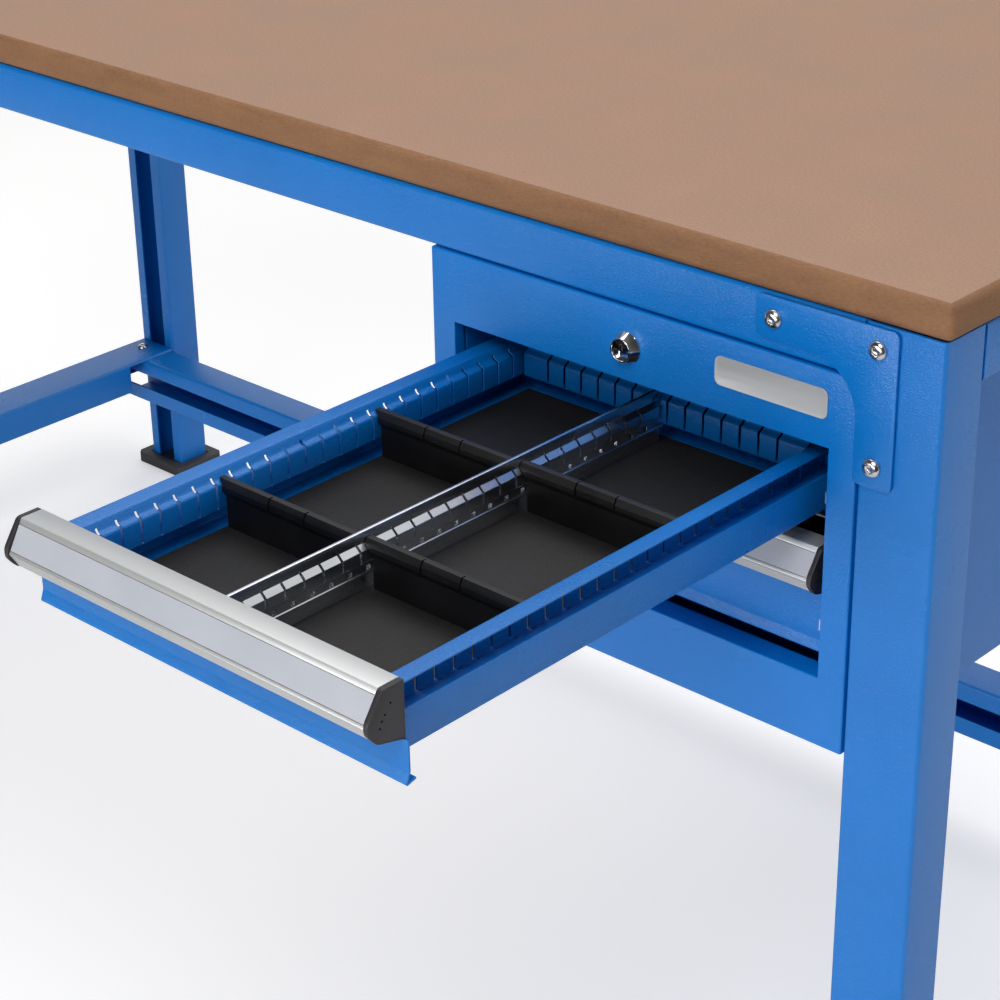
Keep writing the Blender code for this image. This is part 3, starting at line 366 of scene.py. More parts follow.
def socket_screw(name, seat, axis, way):
    """Button head with a hexagon socket, turned to look along an axis."""
    rim_height = 0.9 * mm
    socket_depth = 4 * mm
    bpy.ops.object.select_all(action="DESELECT")
    bpy.ops.mesh.primitive_cylinder_add(vertices=32, radius=head_radius, depth=rim_height,
                                        location=(0, 0, rim_height / 2))
    screw = bpy.context.object
    screw.name = name
    bpy.ops.object.transform_apply(location=True, rotation=True, scale=True)
    edit("FACE")
    choose(screw, "faces", lambda face: face.normal.z > 0.9)
    for rise, shrink in screw_dome:
        bpy.ops.mesh.extrude_region_move(TRANSFORM_OT_translate={"value": (0, 0, rise * mm)})
        bpy.ops.transform.resize(value=(shrink, shrink, 1), center_override=(0, 0, 0))
    bpy.ops.object.mode_set(mode="OBJECT")
    bpy.ops.object.select_all(action="DESELECT")
    bpy.ops.mesh.primitive_cylinder_add(vertices=6, radius=socket_radius, depth=socket_depth,
                                        location=(0, 0, socket_floor + socket_depth / 2))
    subtract(screw, bpy.context.object)
    soften(screw, 0.15 * mm, angle=50)
    if axis == "Y":
        screw.rotation_euler = (math.radians(-90 * way), 0, 0)
    screw.location = seat
    bpy.ops.object.transform_apply(location=True, rotation=True, scale=True)
    settle(screw, "bench", zinc, "zinc_plated_steel")


def through_edge(edge, inner_x, inner_z, at_inner):
    """Whether an edge runs through the plate, at its inner corner or, if asked so, at any other place."""
    first, second = (vert.co for vert in edge.verts)
    if abs(first.y - second.y) < mm:
        return False
    return at_inner == (abs(first.x - inner_x) < mm and abs(first.z - inner_z) < mm)


def plate_corner(edge, inner_x, inner_z):
    """Whether an edge is one of the plate's five outer corners."""
    across = abs(edge.calc_length() - plate_sheet) < tolerance
    return through_edge(edge, inner_x, inner_z, False) and across and edge.calc_face_angle(0) > 1


for name, side, end in corners:
    low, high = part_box("gusset_" + name)
    leg_low, leg_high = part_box("leg_" + name)
    face = leg_low.y if end < 0 else leg_high.y
    seat_y = face + end * (plate_gap + plate_sheet)
    near, far = sorted((face + end * plate_gap, seat_y))
    plate = block("corner_plate_" + name, (low.x, near, low.z), (high.x, far, high.z))
    outer, far_end = (high.x, low.x) if side > 0 else (low.x, high.x)
    inner = outer - side * arm
    inner_z = high.z - arm
    gap = sorted((inner, far_end - side * overshoot))
    cut_block(plate, (gap[0], near - mm, low.z - overshoot), (gap[1], far + mm, inner_z))
    pick(plate)
    edit("EDGE")
    round_edges(plate, inner_curve, 12, lambda item: through_edge(item, inner, inner_z, True))
    round_edges(plate, outer_curve, 5, lambda item: plate_corner(item, inner, inner_z))
    bpy.ops.object.mode_set(mode="OBJECT")
    soften(plate, 0.35 * mm, angle=50)
    settle(plate, "bench", paint, "blue_powder_coat", "gusset_" + name)
    reach = plate_size - arm / 2
    for number, (across, down) in enumerate(((arm / 2, arm / 2), (reach, arm / 2), (arm / 2, reach))):
        seat = (outer - side * across, seat_y, high.z - down)
        socket_screw("plate_screw_%s_%d" % (name, number), seat, "Y", end)

bolt_inset = 35 * mm
bolt_from_end = 21 * mm
for name, side in (("left", -1), ("right", 1)):
    low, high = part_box("side_stretcher_" + name)
    inner = low.x if side > 0 else high.x
    seat = (inner + side * bolt_inset, high.y - bolt_from_end, low.z + beam_height)
    socket_screw("stretcher_bolt_" + name, seat, "Z", 1)

# Cabinet case
# Folded from 1.2 mm sheet as one case: sides, back, top and floor, with the front edges turned
# in round the drawer opening. The sill under the drawers is a deeper, rounded fold.
case_sheet = 1.2 * mm
case_bend = 1.6 * mm
opening_width = 331.5 * mm
fascia = 54 * mm
sill = 53 * mm
turned_in = 10 * mm
sill_fold = 8 * mm
fine_paint = surface("blue_powder_coat_fine", dark=(0.0, 0.168, 0.57), light=(0.001, 0.185, 0.61), clouds=9,
                     grain=950, roughness=(0.22, 0.28), bump=0.15 * mm)
low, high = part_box("cabinet_front_frame")
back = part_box("cabinet_shell")[1].y
front_plane = low.y
case_x = (low.x + high.x) / 2
left = case_x - opening_width / 2
right = case_x + opening_width / 2
opening_low = low.z + sill
opening_top = high.z - fascia


def in_opening(point, margin=0.0):
    """Whether a point of the front plane lies in the drawer opening, or this close to it."""
    return (abs(point.y - front_plane) < tolerance and left - margin < point.x < right + margin
            and opening_low - margin < point.z < opening_top + margin)


def on_sill(edge):
    """Whether both ends of an edge are at the height of the sill."""
    return all(abs(vert.co.z - opening_low) < tolerance for vert in edge.verts)


def on_rim(edge):
    """Whether an edge is part of the front rim round the opening."""
    return all(in_opening(vert.co, tolerance) for vert in edge.verts)


case = block("cabinet_case", (low.x, front_plane, low.z), (high.x, back, high.z))
edit("EDGE")
round_edges(case, case_bend, 4, lambda edge: True)
for place, normal in (((left, 0, 0), (1, 0, 0)), ((right, 0, 0), (1, 0, 0)),
                      ((0, 0, opening_low), (0, 0, 1)), ((0, 0, opening_top), (0, 0, 1))):
    bpy.ops.mesh.select_all(action="SELECT")
    bpy.ops.mesh.bisect(plane_co=place, plane_no=normal)
bpy.ops.mesh.select_mode(type="FACE")
choose(case, "faces", lambda face: in_opening(face.calc_center_median()))
bpy.ops.mesh.delete(type="FACE")
bpy.ops.mesh.select_mode(type="EDGE")
choose(case, "edges", lambda edge: edge.is_boundary)
bpy.ops.mesh.extrude_edges_move(TRANSFORM_OT_translate={"value": (0, turned_in, 0)})
choose(case, "edges", lambda edge: edge.is_boundary and on_sill(edge))
bpy.ops.mesh.extrude_edges_move(TRANSFORM_OT_translate={"value": (0, sill_fold, 0)})
round_edges(case, 1.0 * mm, 3, lambda edge: on_rim(edge) and not on_sill(edge))
round_edges(case, 2.4 * mm, 5, lambda edge: on_rim(edge) and on_sill(edge))
bpy.ops.object.mode_set(mode="OBJECT")
modify(case, "SOLIDIFY", thickness=case_sheet, offset=-1, use_even_offset=True)
soften(case, 0.1 * mm, segments=1, angle=60)
settle(case, "bench", fine_paint, "blue_powder_coat", "cabinet_shell", "cabinet_front_frame")

# Hanger and uprights
# The hanger bolts the case to the worktop; the uprights inside it carry the slides.
for name in ("hanger_frame", "upright_left", "upright_right"):
    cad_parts[name].material_slots[0].material = fine_paint

# Nameplate
# A thin bare plate of brushed aluminium with rounded corners, pressed flat on the fascia.
plate_metal = surface("plate_aluminium", dark=(0.6, 0.61, 0.61), light=(0.72, 0.73, 0.73), clouds=60,
                      grain=700, roughness=(0.3, 0.4), bump=0.01 * mm, metallic=0.5, stretch=(0.05, 1, 1))
badge_corner = 5 * mm
raised_rim = 0.9 * mm
field_depth = 0.25 * mm
badge = block("nameplate_sheet", *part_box("nameplate"))
edit("EDGE")
round_edges(badge, badge_corner, 6, lambda edge: edge.verts[0].co.xz == edge.verts[1].co.xz)
bpy.ops.mesh.select_mode(type="FACE")
choose(badge, "faces", lambda face: face.normal.y < -0.9)
bpy.ops.mesh.inset(thickness=raised_rim)
bpy.ops.transform.translate(value=(0, field_depth, 0))
bpy.ops.object.mode_set(mode="OBJECT")
soften(badge, 0.15 * mm, angle=40)
settle(badge, "bench", plate_metal, "anodised_aluminium", "nameplate")

# Cam lock
# A chromed collar with a domed rim sits in the fascia; the barrel turns in it and has a keyway.
chrome = surface("chrome_plating", dark=(0.75, 0.75, 0.77), light=(0.85, 0.85, 0.87), clouds=80, grain=900,
                 roughness=(0.05, 0.09), bump=0.002 * mm, metallic=1.0)
low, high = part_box("lock_housing")
lock_x = (low.x + high.x) / 2
lock_z = (low.z + high.z) / 2
collar_radius = 12 * mm
collar_bore = 7.1 * mm
fascia_bore = 9.7 * mm
plug_radius = 6.8 * mm
plug_length = 24 * mm
keyway_depth = 7 * mm
# The collar's steps, forward and back into its throat: the way in mm and the share of the radius kept.
collar_dome = ((-0.4, 0.97), (-6.0, 0.755), (-0.4, 0.97))
collar_throat = ((0.6, 0.97), (5.0, 1.0))
# The two cuts that make the keyway: left, bottom, right and top in mm from the axis.
keyway = ((-1.2, -4.2, 1.2, 4.2), (-2.2, -1.0, -0.5, 1.4))


def round_bar(name, radius, near, far, vertices=48):
    """A bar about the lock's axis, from one depth to another."""
    bpy.ops.object.select_all(action="DESELECT")
    bpy.ops.mesh.primitive_cylinder_add(vertices=vertices, radius=radius, depth=far - near,
                                        location=(lock_x, (near + far) / 2, lock_z),
                                        rotation=(math.radians(90), 0, 0))
    bar = bpy.context.object
    bar.name = name
    bpy.ops.object.transform_apply(location=True, rotation=True, scale=True)
    return bar


def draw(push, shrink):
    """In edit mode, extrude the chosen face along the lock's axis and scale it about that axis."""
    bpy.ops.mesh.extrude_region_move(TRANSFORM_OT_translate={"value": (0, push * mm, 0)})
    bpy.ops.transform.resize(value=(shrink, 1, shrink), center_override=(lock_x, 0, lock_z))


def bore(piece, radius, near, far):
    """Cut a round hole along the lock's axis between two depths."""
    subtract(piece, round_bar("drill", radius, near, far))
    shade(piece)


collar = round_bar("lock_collar", collar_radius, front_plane - 0.7 * mm, front_plane - 0.3 * mm, 64)
edit("FACE")
choose(collar, "faces", lambda face: face.normal.y < -0.9)
for push, shrink in collar_dome:
    draw(push, shrink)
bpy.ops.mesh.inset(thickness=0.9 * mm)
for push, shrink in collar_throat:
    draw(push, shrink)
bpy.ops.object.mode_set(mode="OBJECT")
soften(collar, 0.12 * mm, angle=25)
bore(collar, collar_bore, front_plane - 4 * mm, front_plane + 3 * mm)
bore(case, fascia_bore, front_plane - 3 * mm, front_plane + 5 * mm)
settle(collar, "bench", chrome, "chrome", "lock_housing")

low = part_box("lock_barrel")[0]
barrel = round_bar("lock_plug", plug_radius, low.y, low.y + plug_length)
edit("FACE")
choose(barrel, "faces", lambda face: face.normal.y < -0.9)
bpy.ops.mesh.inset(thickness=1.1 * mm)
bpy.ops.transform.translate(value=(0, 0.5 * mm, 0))
bpy.ops.object.mode_set(mode="OBJECT")
for from_x, from_z, to_x, to_z in keyway:
    cut_block(barrel, (lock_x + from_x * mm, low.y - mm, lock_z + from_z * mm),
              (lock_x + to_x * mm, low.y + keyway_depth, lock_z + to_z * mm))
soften(barrel, 0.15 * mm, angle=50)
settle(barrel, "lock", chrome, "chrome", "lock_barrel")
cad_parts["lock_cam"].material_slots[0].material = zinc

# Slides
# Three nested members of galvanised sheet on each side of a drawer; only their ends show.
slide_metal = surface("galvanised_slide", dark=(0.5, 0.52, 0.55), light=(0.68, 0.7, 0.73), clouds=60,
                      grain=400, roughness=(0.22, 0.36), bump=0.01 * mm, metallic=1.0)
for level in ("upper", "lower"):
    for member in ("outer", "middle", "inner"):
        for side_name in ("left", "right"):
            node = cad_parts["%s_slide_%s_%s" % (level, member, side_name)]
            node.material_slots[0].material = slide_metal

# Drawer trays
# Folded from 1 mm sheet: a flange, a slotted wall set in from the side, a ledge back to the outer
# wall, and the floor. A slotted rear wall and a low front wall are welded in.
tray_sheet = 1.0 * mm
tray_bend = 1.1 * mm
wall_inset = 20 * mm
flange_width = 12.5 * mm
ledge_depth = 26 * mm
slot_pitch = 15.85 * mm
slot_count = 25
rear_slot_count = 14
first_slot = 22.7 * mm
half_slot = 1.05 * mm


def wall_path(rim, edge):
    """Middle line of a slotted wall, from its flange down to the outer wall."""
    outer = edge - tray_sheet / 2
    slotted = edge - wall_inset + tray_sheet / 2
    upper = rim - tray_sheet / 2
    ledge = rim - ledge_depth
    return [(edge, upper), (edge - flange_width, upper), (slotted + 4 * mm, rim - 6.5 * mm),
            (slotted, rim - 8.6 * mm), (slotted, ledge), (outer, ledge + 8 * mm)]


def join(piece, others):
    """Join other pieces to the first one."""
    bpy.ops.object.select_all(action="DESELECT")
    for other in others:
        other.select_set(True)
    piece.select_set(True)
    bpy.context.view_layer.objects.active = piece
    bpy.ops.object.join()
    return piece


def cut_blocks(piece, boxes):
    """Cut many boxes out of a piece at once."""
    tools = [block("slot_tool", low, high) for low, high in boxes]
    subtract(piece, join(tools[0], tools[1:]))


def slot_rows(start):
    """Where the slots lie along a tray that starts here."""
    return [start + first_slot + number * slot_pitch for number in range(slot_count)]


tray_paint = surface("blue_powder_coat_tray", dark=(0.0, 0.145, 0.5), light=(0.001, 0.165, 0.56), clouds=12,
                     grain=850, roughness=(0.24, 0.32), bump=0.18 * mm)
for level in ("upper", "lower"):
    low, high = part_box(level + "_tray")
    middle_x = (low.x + high.x) / 2
    half = (high.x - low.x) / 2
    rim = high.z
    side_path = wall_path(rim, half) + [(half - tray_sheet / 2, low.z + tray_sheet / 2)]
    path = [(middle_x + u, v) for u, v in side_path] + [(middle_x - u, v) for u, v in side_path[::-1]]
    tray = folded_sheet(level + "_tray_shell", "Y", low.y, high.y, path, tray_sheet, tray_bend, 3)
    rear_edge = high.y - 0.3 * mm
    rear_skin = rear_edge - tray_sheet / 2
    foot = [(rear_skin, rim - 18 * mm), (rear_skin, low.z + tray_sheet / 2)]
    rear_path = wall_path(rim, rear_edge) + foot[1:]
    narrow = half - wall_inset - 2.4 * mm
    wide = half - 1.3 * mm
    rear = folded_sheet("rear_wall", "X", middle_x - narrow, middle_x + narrow, rear_path, tray_sheet,
                        tray_bend, 3)
    wings = [folded_sheet("rear_wing", "X", middle_x + side * narrow, middle_x + side * wide, foot,
                          tray_sheet, 0) for side in (-1, 1)]
    lip = block("front_wall", (middle_x - wide, low.y + 0.3 * mm, low.z + 0.5 * mm),
                (middle_x + wide, low.y + 1.3 * mm, low.z + 14 * mm))
    join(tray, [rear, lip] + wings)
    slot_low = rim - 25 * mm
    slot_top = rim - 4 * mm
    slotted = half - wall_inset
    boxes = []
    for y in slot_rows(low.y):
        for side in (-1, 1):
            near, far = sorted((side * (slotted - mm), side * (slotted + 7 * mm)))
            boxes.append(((middle_x + near, y - half_slot, slot_low),
                          (middle_x + far, y + half_slot, slot_top)))
    rear_face = rear_edge - wall_inset
    for number in range(rear_slot_count):
        x = middle_x + (number - rear_slot_count / 2 + 0.5) * slot_pitch
        boxes.append(((x - half_slot, rear_face - mm, slot_low),
                      (x + half_slot, rear_face + 7 * mm, slot_top)))
    cut_blocks(tray, boxes)
    soften(tray, 0.12 * mm, segments=1, angle=60)
    settle(tray, level + "_drawer", tray_paint, "blue_powder_coat", level + "_tray")

# Drawer fronts
# A flat panel with a lip at its foot that leans forward, closed by a small hem turned back.
# Its upper corners are cut away for the end caps of the handle.
front_sheet = 1.2 * mm
front_bend = 0.9 * mm
cap_play = 0.3 * mm
for level in ("upper", "lower"):
    low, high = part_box(level + "_front")
    tray_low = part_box(level + "_tray")[0]
    face = tray_low.y - 0.3 * mm - front_sheet / 2
    fold = tray_low.z + front_sheet / 2 - 11.2 * mm
    path = [(face, high.z), (face, fold + 7.5 * mm), (face - 2.7 * mm, fold),
            (face + 4.8 * mm, fold + 1.9 * mm)]
    panel = folded_sheet(level + "_front_panel", "X", low.x, high.x, path, front_sheet, front_bend)
    cap_low, cap_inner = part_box(level + "_end_cap_left")
    other_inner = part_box(level + "_end_cap_right")[0]
    notch = cap_low.z - cap_play
    cut_block(panel, (low.x - mm, low.y - mm, notch), (cap_inner.x + cap_play, high.y + mm, high.z + mm))
    cut_block(panel, (other_inner.x - cap_play, low.y - mm, notch), (high.x + mm, high.y + mm, high.z + mm))
    soften(panel, 0.2 * mm, segments=1, angle=60)
    settle(panel, level + "_drawer", fine_paint, "blue_powder_coat", level + "_front")

# Handles
# An anodised aluminium rail over the top edge of each panel. A strip lies in a groove along its
# sloping face, fine lines run along its hanging edge, and a black cap closes each end.
aluminium = surface("anodised_aluminium_rail", dark=(0.53, 0.54, 0.54), light=(0.6, 0.61, 0.61), clouds=25,
                    grain=500, roughness=(0.36, 0.46), bump=0.01 * mm, metallic=0.55, stretch=(0.04, 1, 1))
strip_look = surface("label_strip_grey", dark=(0.42, 0.44, 0.49), light=(0.5, 0.52, 0.57), clouds=12,
                     grain=600, roughness=(0.3, 0.4), bump=0.01 * mm)
cap_black = surface("cap_plastic", dark=(0.018, 0.015, 0.017), light=(0.028, 0.025, 0.027), clouds=60,
                    grain=800, roughness=(0.4, 0.55), bump=0.03 * mm)
rail_height = 38 * mm
rail_sheet = 2.6 * mm
groove_depth = 1.2 * mm
groove_rim = 4 * mm
fine_lines = (2.6, 4.8, 7.0, 9.2)
# A cap's dimples: how far forward of its rear edge and how far below its top, in mm.
dimples = ((10.8, 10.2), (15.4, 15.7), (17.7, 19.0), (19.4, 22.9))


def section_bar(name, axis, start, end, outline):
    """A closed outline of (u, v) points as a bar from start to end along an axis."""
    bpy.ops.object.select_all(action="DESELECT")
    bpy.ops.mesh.primitive_circle_add(vertices=len(outline), radius=1, fill_type="NGON")
    piece = bpy.context.object
    piece.name = name
    edit("FACE")
    mesh = bmesh.from_edit_mesh(piece.data)
    mesh.verts.ensure_lookup_table()
    for vert, (u, v) in zip(mesh.verts, outline):
        vert.co = spot(axis, start, u, v)
    bmesh.update_edit_mesh(piece.data)
    bpy.ops.mesh.select_all(action="SELECT")
    bpy.ops.mesh.extrude_region_move(TRANSFORM_OT_translate={"value": spot(axis, end - start, 0, 0)})
    bpy.ops.mesh.select_all(action="SELECT")
    bpy.ops.mesh.normals_make_consistent(inside=False)
    bpy.ops.object.mode_set(mode="OBJECT")
    return piece


def moved(line, distance):
    """The same open line moved sideways by a distance, with mitred corners."""
    points = [Vector(point) for point in line]
    result = []
    for number, point in enumerate(points):
        before = (point - points[number - 1]).normalized() if number else None
        after = (points[number + 1] - point).normalized() if number < len(points) - 1 else None
        before = before or after
        after = after or before
        normal = Vector((-before.y, before.x))
        miter = (normal + Vector((-after.y, after.x))).normalized()
        result.append(tuple(point + miter * distance / miter.dot(normal)))
    return result


def eased(line, reach, steps=5):
    """Swap each inner corner of an open line for a curve that starts and ends this far from it."""
    points = [Vector(line[0])]
    for before, corner, after in zip(line, line[1:], line[2:]):
        corner = Vector(corner)
        start = corner + (Vector(before) - corner).normalized() * reach
        end = corner + (Vector(after) - corner).normalized() * reach
        for step in range(steps + 1):
            t = step / steps
            points.append(start * (1 - t) ** 2 + corner * 2 * t * (1 - t) + end * t ** 2)
    return points + [Vector(line[-1])]


def end_cap(name, low, high, side, profile):
    """A cap with a shallow field in its outer face and a row of dimples down its front."""
    cap = section_bar(name, "X", low.x, high.x, eased(profile, 2.6 * mm, 6))
    edit("FACE")
    choose(cap, "faces", lambda item: item.normal.x * side > 0.9)
    for width, depth in ((1.1, -0.4), (0.8, 0.25)):
        bpy.ops.mesh.inset(thickness=width * mm)
        bpy.ops.transform.translate(value=(side * depth * mm, 0, 0))
    bpy.ops.object.mode_set(mode="OBJECT")
    soften(cap, 0.6 * mm, segments=3, angle=40)
    outside = high.x if side > 0 else low.x
    for forward, down in dimples:
        bpy.ops.object.select_all(action="DESELECT")
        bpy.ops.mesh.primitive_cylinder_add(
            vertices=16, radius=0.8 * mm, depth=2 * mm, rotation=(0, math.radians(90), 0),
            location=(outside - side * 0.2 * mm, high.y - forward * mm, profile[0][1] - down * mm))
        subtract(cap, bpy.context.object)
    shade(cap)
    return cap


for level in ("upper", "lower"):
    body = level + "_drawer"
    low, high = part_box(level + "_handle")
    rail_top = high.z
    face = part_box(level + "_tray")[0].y - 1.5 * mm
    foot = Vector((face - 0.3 * mm, rail_top - rail_height))
    corner = Vector((face - 15 * mm, rail_top))
    nose = Vector((face - 27 * mm, rail_top - 21 * mm))
    lip_end = Vector((face - 20.5 * mm, rail_top - 31.5 * mm))
    along = (nose - corner).normalized()
    inwards = Vector((-along.y, along.x))
    rim_top = corner + along * groove_rim
    rim_low = nose - along * 2.2 * mm
    recess = inwards * groove_depth
    outline = [foot, (foot.x, rail_top - rail_sheet), (high.y, rail_top - rail_sheet)]
    outline += eased([(high.y, rail_top), corner, rim_top], 1.0 * mm)
    outline += [rim_top + recess, rim_low + recess, rim_low, nose]
    down = (lip_end - nose).normalized()
    aside = Vector((-down.y, down.x))
    for start in fine_lines:
        groove = nose + down * start * mm
        outline += [groove, groove + down * 0.3 * mm + aside * 0.25 * mm, groove + down * 0.6 * mm]
    outline += [lip_end] + moved([foot, (foot.x, rail_top), corner, nose, lip_end], rail_sheet)[::-1]
    rail = section_bar(level + "_handle_rail", "X", low.x, high.x, outline)
    soften(rail, 0.3 * mm, angle=50)
    settle(rail, body, aluminium, "anodised_aluminium", level + "_handle")
    low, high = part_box(level + "_label_strip")
    strip_top = rim_top + along * 0.3 * mm
    strip_low = rim_low - along * 0.3 * mm
    under = inwards * 0.9 * mm
    skin = inwards * 0.1 * mm
    strip = section_bar(level + "_strip", "X", low.x, high.x,
                        [strip_top + under, strip_low + under, strip_low + skin, strip_top + skin])
    soften(strip, 0.1 * mm, segments=1, angle=40)
    settle(strip, body, strip_look, "label_card", level + "_label_strip")
    for side_name, side in (("left", -1), ("right", 1)):
        node = "%s_end_cap_%s" % (level, side_name)
        low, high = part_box(node)
        profile = [(high.y, rail_top), (corner.x - 0.6 * mm, rail_top),
                   (nose.x - 0.5 * mm, nose.y + 3.4 * mm), (nose.x - 0.5 * mm, nose.y - 3 * mm),
                   (lip_end.x - 0.6 * mm, lip_end.y - 0.6 * mm), (high.y, foot.y)]
        cap = end_cap("%s_cap_%s" % (level, side_name), low, high, side, profile)
        settle(cap, body, cap_black, "black_plastic", node)

# Mats
# Cut from black rubber sheet with a fine pebble grain; one lies loose on each tray floor.
rubber = surface("mat_rubber", dark=(0.004, 0.0038, 0.004), light=(0.019, 0.0183, 0.019), clouds=9,
                 grain=750, roughness=(0.6, 0.75), bump=0.16 * mm, speckle=0.6)
for level in ("upper", "lower"):
    mat = block(level + "_rubber_mat", *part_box(level + "_mat"))
    soften(mat, 0.5 * mm, angle=40)
    settle(mat, level + "_drawer", rubber, "rubber", level + "_mat")

# Centre divider
# Bright galvanised sheet folded double at the top; both sides bulge out, with a slot every pitch
# for the cross dividers and a small hole behind each slot, lower down.
divider_sheet = 0.8 * mm
half_gap = 0.9 * mm
wide = 4.5 * mm
dent = 0.6 * mm
galvanised = surface("galvanised_sheet", dark=(0.62, 0.64, 0.67), light=(0.85, 0.87, 0.9), clouds=35,
                     grain=500, roughness=(0.18, 0.32), bump=0.01 * mm, metallic=1.0, stretch=(1, 0.3, 1))
low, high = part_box("upper_centre_divider")
middle_x = (low.x + high.x) / 2
jog_top = high.z - 8 * mm
jog_low = jog_top - 3.5 * mm
panel_low = jog_low - 16 * mm
half_path = [(half_gap, low.z), (half_gap, panel_low - 2 * mm), (wide, panel_low),
             (wide, panel_low + 0.7 * mm), (wide - dent, panel_low + 1.3 * mm),
             (wide - dent, jog_low - 8.5 * mm), (wide, jog_low - 7.5 * mm), (wide, jog_low),
             (half_gap, jog_top), (half_gap, high.z - divider_sheet / 2)]
path = [(middle_x + u, v) for u, v in half_path] + [(middle_x - u, v) for u, v in half_path[::-1]]
divider = folded_sheet("centre_divider_sheet", "Y", low.y, high.y, path, divider_sheet, 0.3 * mm, 2)
boxes = []
for y in slot_rows(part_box("upper_tray")[0].y):
    if not low.y + mm < y < high.y - mm:
        continue
    for side in (-1, 1):
        near, far = sorted((side * 0.45 * mm, side * 6 * mm))
        boxes.append(((middle_x + near, y - mm, jog_low - 8 * mm),
                      (middle_x + far, y + mm, jog_top + 1.6 * mm)))
        boxes.append(((middle_x + near, y + 4.6 * mm, panel_low + 2.2 * mm),
                      (middle_x + far, y + 8.2 * mm, panel_low + 5.6 * mm)))
# The rearmost slot on the right and its hole stay uncut.
cut_blocks(divider, boxes[:-2])
soften(divider, 0.25 * mm, segments=1, angle=60)
settle(divider, "upper_drawer", galvanised, "galvanised_steel", "upper_centre_divider")

# Cross dividers
# Moulded black plates with a thick bead along the top; a clip for a label is let into each bead.
divider_black = surface("divider_plastic", dark=(0.004, 0.0038, 0.004), light=(0.01, 0.0095, 0.01),
                        clouds=30, grain=700, roughness=(0.45, 0.55), bump=0.04 * mm, specular=0.42)
half = 1.2 * mm
bead = 4.5 * mm
clip_half = 16 * mm
clip_groove = 1.2 * mm
tab_starts = (-9 * mm, 2 * mm)
tab_width = 5 * mm
for row in ("front", "rear"):
    for side_name, side in (("left", -1), ("right", 1)):
        name = "cross_divider_%s_%s" % (row, side_name)
        low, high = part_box(name)
        y = (low.y + high.y) / 2
        under = high.z - 8 * mm
        line = [(half, low.z), (half, under - bead), (bead, under), (bead, high.z - bead),
                (bead / 2, high.z)]
        outline = [(y + u, v) for u, v in line] + [(y - u, v) for u, v in line[::-1]]
        plate = section_bar(name + "_plate", "X", low.x, high.x, outline)
        inner_end, outer_end = (low.x, high.x) if side > 0 else (high.x, low.x)
        rim = high.z + 4.5 * mm
        reliefs = (
            ((inner_end + side * 3.6 * mm, low.z - mm), (inner_end + side * 3.6 * mm, rim - 11.4 * mm),
             (inner_end - side * mm, rim - 6.9 * mm), (inner_end - side * mm, low.z - mm)),
            ((outer_end - side * 4 * mm, low.z - mm), (outer_end - side * 4 * mm, rim - 7.9 * mm),
             (outer_end + side * mm, rim - 4.6 * mm), (outer_end + side * mm, low.z - mm)))
        for relief in reliefs:
            subtract(plate, section_bar("relief", "Y", y - 2 * bead, y + 2 * bead, relief))
        middle = (low.x + high.x) / 2
        cut_block(plate, (middle - clip_half, y - 2 * bead, under - bead),
                  (middle + clip_half, y - bead + 0.5 * mm, high.z + mm))
        soften(plate, 1.3 * mm, segments=4, angle=25)
        for groove in (middle - clip_half - clip_groove, middle + clip_half):
            cut_block(plate, (groove, y - 2 * bead, under - 1.5 * mm),
                      (groove + clip_groove, y + 0.5 * mm, high.z + mm))
        cut_block(plate, (middle - clip_half - 0.2 * mm, y - 2 * bead, under - 1.5 * mm),
                  (middle + clip_half + 0.2 * mm, y - bead + 2.4 * mm, under - 0.5 * mm))
        shade(plate)
        settle(plate, "upper_drawer", divider_black, "black_plastic", name)
        for number, across in enumerate(tab_starts):
            start = middle + across
            tab = block("%s_label_tab_%d" % (name, number), (start, y - bead + 0.1 * mm, under + 0.6 * mm),
                        (start + tab_width, y - bead + 0.9 * mm, under + 1.8 * mm))
            soften(tab, 0.3 * mm, angle=40)
            settle(tab, "upper_drawer", divider_black, "black_plastic")

# Studio
# A pale floor that ends a step in front of the bench, a white wall far behind it, a dark room in
# front, soft lamps, and the camera at the photo's angle.
floor_end = -1.48
floor_skew = 0.177
floor_glow = 0.38
front_light = 0.05
rear_light = 0.78
bpy.ops.object.select_all(action="DESELECT")
bpy.ops.mesh.primitive_plane_add(size=30, location=(0, 0, 0))
floor = bpy.context.object
floor.name = "studio_floor"
for vert in floor.data.vertices:
    if vert.co.y < 0:
        vert.co.y = floor_end + floor_skew * vert.co.x
ground = bpy.data.materials.new("studio_floor_white")
ground.use_nodes = True
nodes = ground.node_tree.nodes
links = ground.node_tree.links
ground_shader = nodes["Principled BSDF"]
ground_shader.inputs["Base Color"].default_value = (0.87, 0.865, 0.86, 1)
ground_shader.inputs["Roughness"].default_value = 0.6
rays = nodes.new("ShaderNodeLightPath")
lift = nodes.new("ShaderNodeMath")
lift.operation = "MULTIPLY"
lift.inputs[1].default_value = floor_glow
links.new(rays.outputs["Is Camera Ray"], lift.inputs[0])
ground_shader.inputs["Emission Color"].default_value = (1, 1, 1, 1)
links.new(lift.outputs["Value"], ground_shader.inputs["Emission Strength"])
floor.data.materials.append(ground)

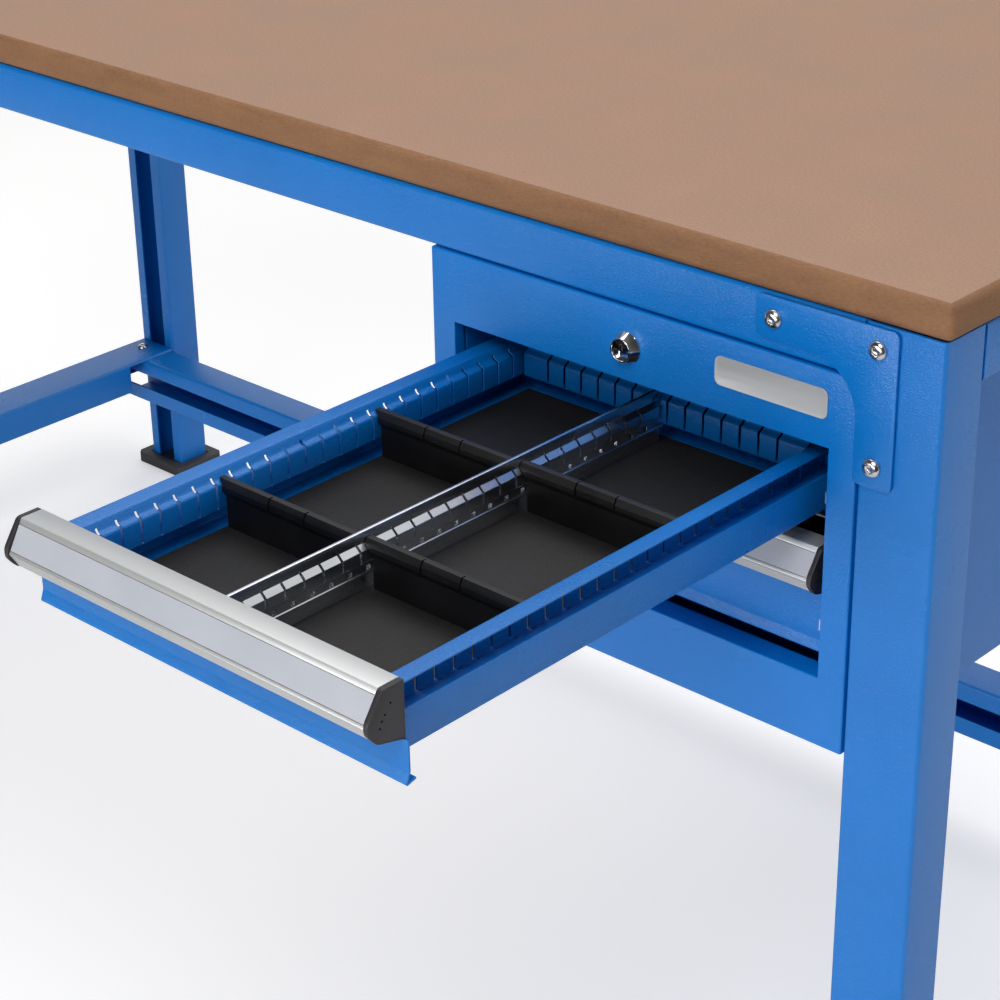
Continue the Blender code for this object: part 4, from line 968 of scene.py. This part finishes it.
world = bpy.data.worlds.new("studio_surround")
bpy.context.scene.world = world
world.use_nodes = True
nodes = world.node_tree.nodes
links = world.node_tree.links
surround = nodes["Background"]
surround.inputs["Color"].default_value = (1, 1, 1, 1)
way = nodes.new("ShaderNodeTexCoord")
parts = nodes.new("ShaderNodeSeparateXYZ")
room = nodes.new("ShaderNodeMapRange")
room.interpolation_type = "SMOOTHSTEP"
room.inputs["From Min"].default_value = -0.35
room.inputs["From Max"].default_value = 0.3
room.inputs["To Min"].default_value = front_light
room.inputs["To Max"].default_value = rear_light
rays = nodes.new("ShaderNodeLightPath")
seen = nodes.new("ShaderNodeMath")
seen.operation = "MAXIMUM"
links.new(way.outputs["Generated"], parts.inputs["Vector"])
links.new(parts.outputs["Y"], room.inputs["Value"])
links.new(rays.outputs["Is Camera Ray"], seen.inputs[0])
links.new(room.outputs["Result"], seen.inputs[1])
links.new(seen.outputs["Value"], surround.inputs["Strength"])


def soft_lamp(name, place, target, size, power):
    """A rectangular area lamp that looks at a target, with its size in metres and its power in watts."""
    data = bpy.data.lights.new(name, "AREA")
    data.shape = "RECTANGLE"
    data.size, data.size_y = size
    data.energy = power
    lamp = bpy.data.objects.new(name, data)
    lamp.location = place
    lamp.rotation_euler = (Vector(target) - Vector(place)).to_track_quat("-Z", "Y").to_euler()
    bpy.context.scene.collection.objects.link(lamp)


soft_lamp("overhead_lamp", place=(0.0, 0.6, 3.4), target=(0.3, 0.1, 0.7), size=(2.6, 2.0), power=34)
soft_lamp("high_front_lamp", place=(1.6, -2.7, 3.6), target=(0.5, -0.2, 0.6), size=(2.2, 1.8), power=70)
soft_lamp("low_front_lamp", place=(0.4, -3.7, 0.75), target=(0.4, -0.2, 0.7), size=(3.2, 1.0), power=77)

camera_data = bpy.data.cameras.new("photo_camera")
camera_data.lens = 87.88
camera_data.sensor_width = 36
camera_data.shift_y = -0.001
camera = bpy.data.objects.new("photo_camera", camera_data)
camera.location = (1.5718, -1.3565, 1.4231)
camera.rotation_euler = (math.radians(63.721), math.radians(0.907), math.radians(42.653))
bpy.context.scene.collection.objects.link(camera)
bpy.context.scene.camera = camera
bpy.context.scene.view_settings.view_transform = "Standard"
